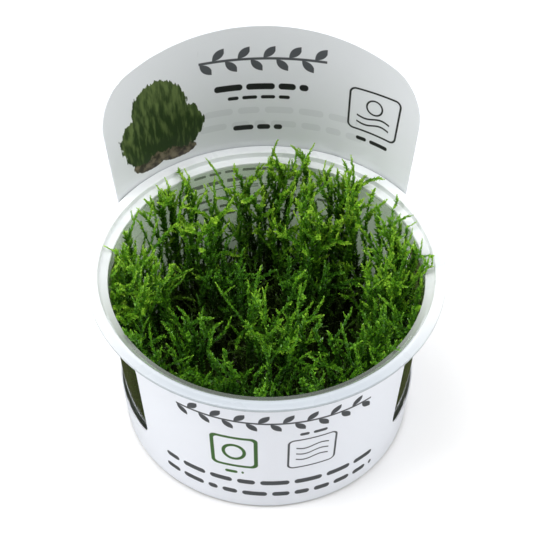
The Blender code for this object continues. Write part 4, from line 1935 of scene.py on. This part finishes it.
@dataclass
class Studio:
    """A pale floor, soft light from above and all round, and the camera."""

    camera_place: Place = (-0.01035, -0.2469, 0.3204)
    camera_tilt: float = math.radians(42.99)
    camera_turn: float = math.radians(-2.4)
    lens: float = 87.8
    world_light: float = 0.44
    below_light: Colour = (0.15, 0.175, 0.07)
    floor_colour: Colour = (0.92, 0.92, 0.92)
    floor_shade: Colour = (0.93, 0.93, 0.93)
    softboxes: tuple[Softbox, ...] = (
        Softbox("top_softbox", (-0.12, 0.06, 1.08), (0.0, 0.0, 0.0), 0.9, 8.8),
        Softbox("left_softbox", (-0.95, -0.15, 0.55), (0.0, 0.0, 0.05), 0.7, 6.6),
        Softbox("right_softbox", (0.95, -0.15, 0.55), (0.0, 0.0, 0.05), 0.7, 6.0),
    )

    def build(self) -> None:
        """Makes the floor, the lights and the camera."""
        self.make_floor()
        self.make_world()
        for softbox in self.softboxes:
            self.add_light(softbox)
        self.add_camera()
        view = bpy.context.scene.view_settings
        view.view_transform = "Standard"
        view.look = "None"

    def make_floor(self) -> None:
        """The pale floor."""
        draft = bmesh.new()
        bmesh.ops.create_grid(draft, x_segments=8, y_segments=8, size=3.0)
        floor = add_piece("studio_floor", mesh_from(draft, "studio_floor", outward=False))
        material, bench, shader = new_material("studio_paper")
        tint = bench.mix(bench.noise(3.0, 1.0), self.floor_colour, self.floor_shade)
        bench.wire(shader, {"Base Color": tint, "Roughness": 0.8, "Specular IOR Level": 0.2})
        floor.data.materials.append(material)
        floor.visible_glossy = False
        floor.visible_transmission = False

    def make_world(self) -> None:
        """A white surround, dim below the horizon, where only reflections and clear pieces show it."""
        world = bpy.data.worlds.new("studio")
        world.use_nodes = True
        bench = Bench(world.node_tree)
        background = world.node_tree.nodes["Background"]
        way = bench.node("ShaderNodeTexCoord").outputs["Generated"]
        up = Num(bench, bench.node("ShaderNodeSeparateXYZ", sockets={0: way}).outputs[2])
        sky = bench.mix(up.rise(-0.15, 0.02), self.below_light, (1.0, 1.0, 1.0))
        bench.wire(background, {"Color": sky, "Strength": self.world_light})
        bpy.context.scene.world = world

    def add_light(self, softbox: Softbox) -> None:
        """Adds one soft light.

        Args:
            softbox: the light.
        """
        data = bpy.data.lights.new(softbox.name, "AREA")
        data.shape = "SQUARE"
        data.size = softbox.size
        data.energy = softbox.power
        light = bpy.data.objects.new(softbox.name, data)
        light.location = softbox.place
        way = Vector(softbox.target) - Vector(softbox.place)
        light.rotation_euler = way.to_track_quat("-Z", "Y").to_euler()
        bpy.context.scene.collection.objects.link(light)

    def add_camera(self) -> None:
        """The camera at the photograph's viewing angle."""
        data = bpy.data.cameras.new("camera")
        data.lens = self.lens
        data.sensor_width = 36.0
        data.clip_end = 20.0
        camera = bpy.data.objects.new("camera", data)
        camera.location = self.camera_place
        camera.rotation_euler = (self.camera_tilt, 0.0, self.camera_turn)
        bpy.context.scene.collection.objects.link(camera)
        bpy.context.scene.camera = camera


def corners(box: object) -> list[list[float]]:
    """A box's two corners as plain lists."""
    return [[float(value) for value in corner] for corner in box]


def main() -> None:
    """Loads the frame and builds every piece."""
    logging.basicConfig(level=logging.INFO, format="%(name)s: %(message)s")
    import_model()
    Studio().build()
    cup = Cup.from_frame()
    pieces = [cup.build(), Gel(cup).build(), LabelSleeve.from_frame(cup).build()]
    pieces += Moss(cup).build()
    for piece in pieces:
        LOG.info("built %s with %d faces", piece.name, len(piece.data.polygons))
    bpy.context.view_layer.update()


if __name__ == "__main__":
    main()
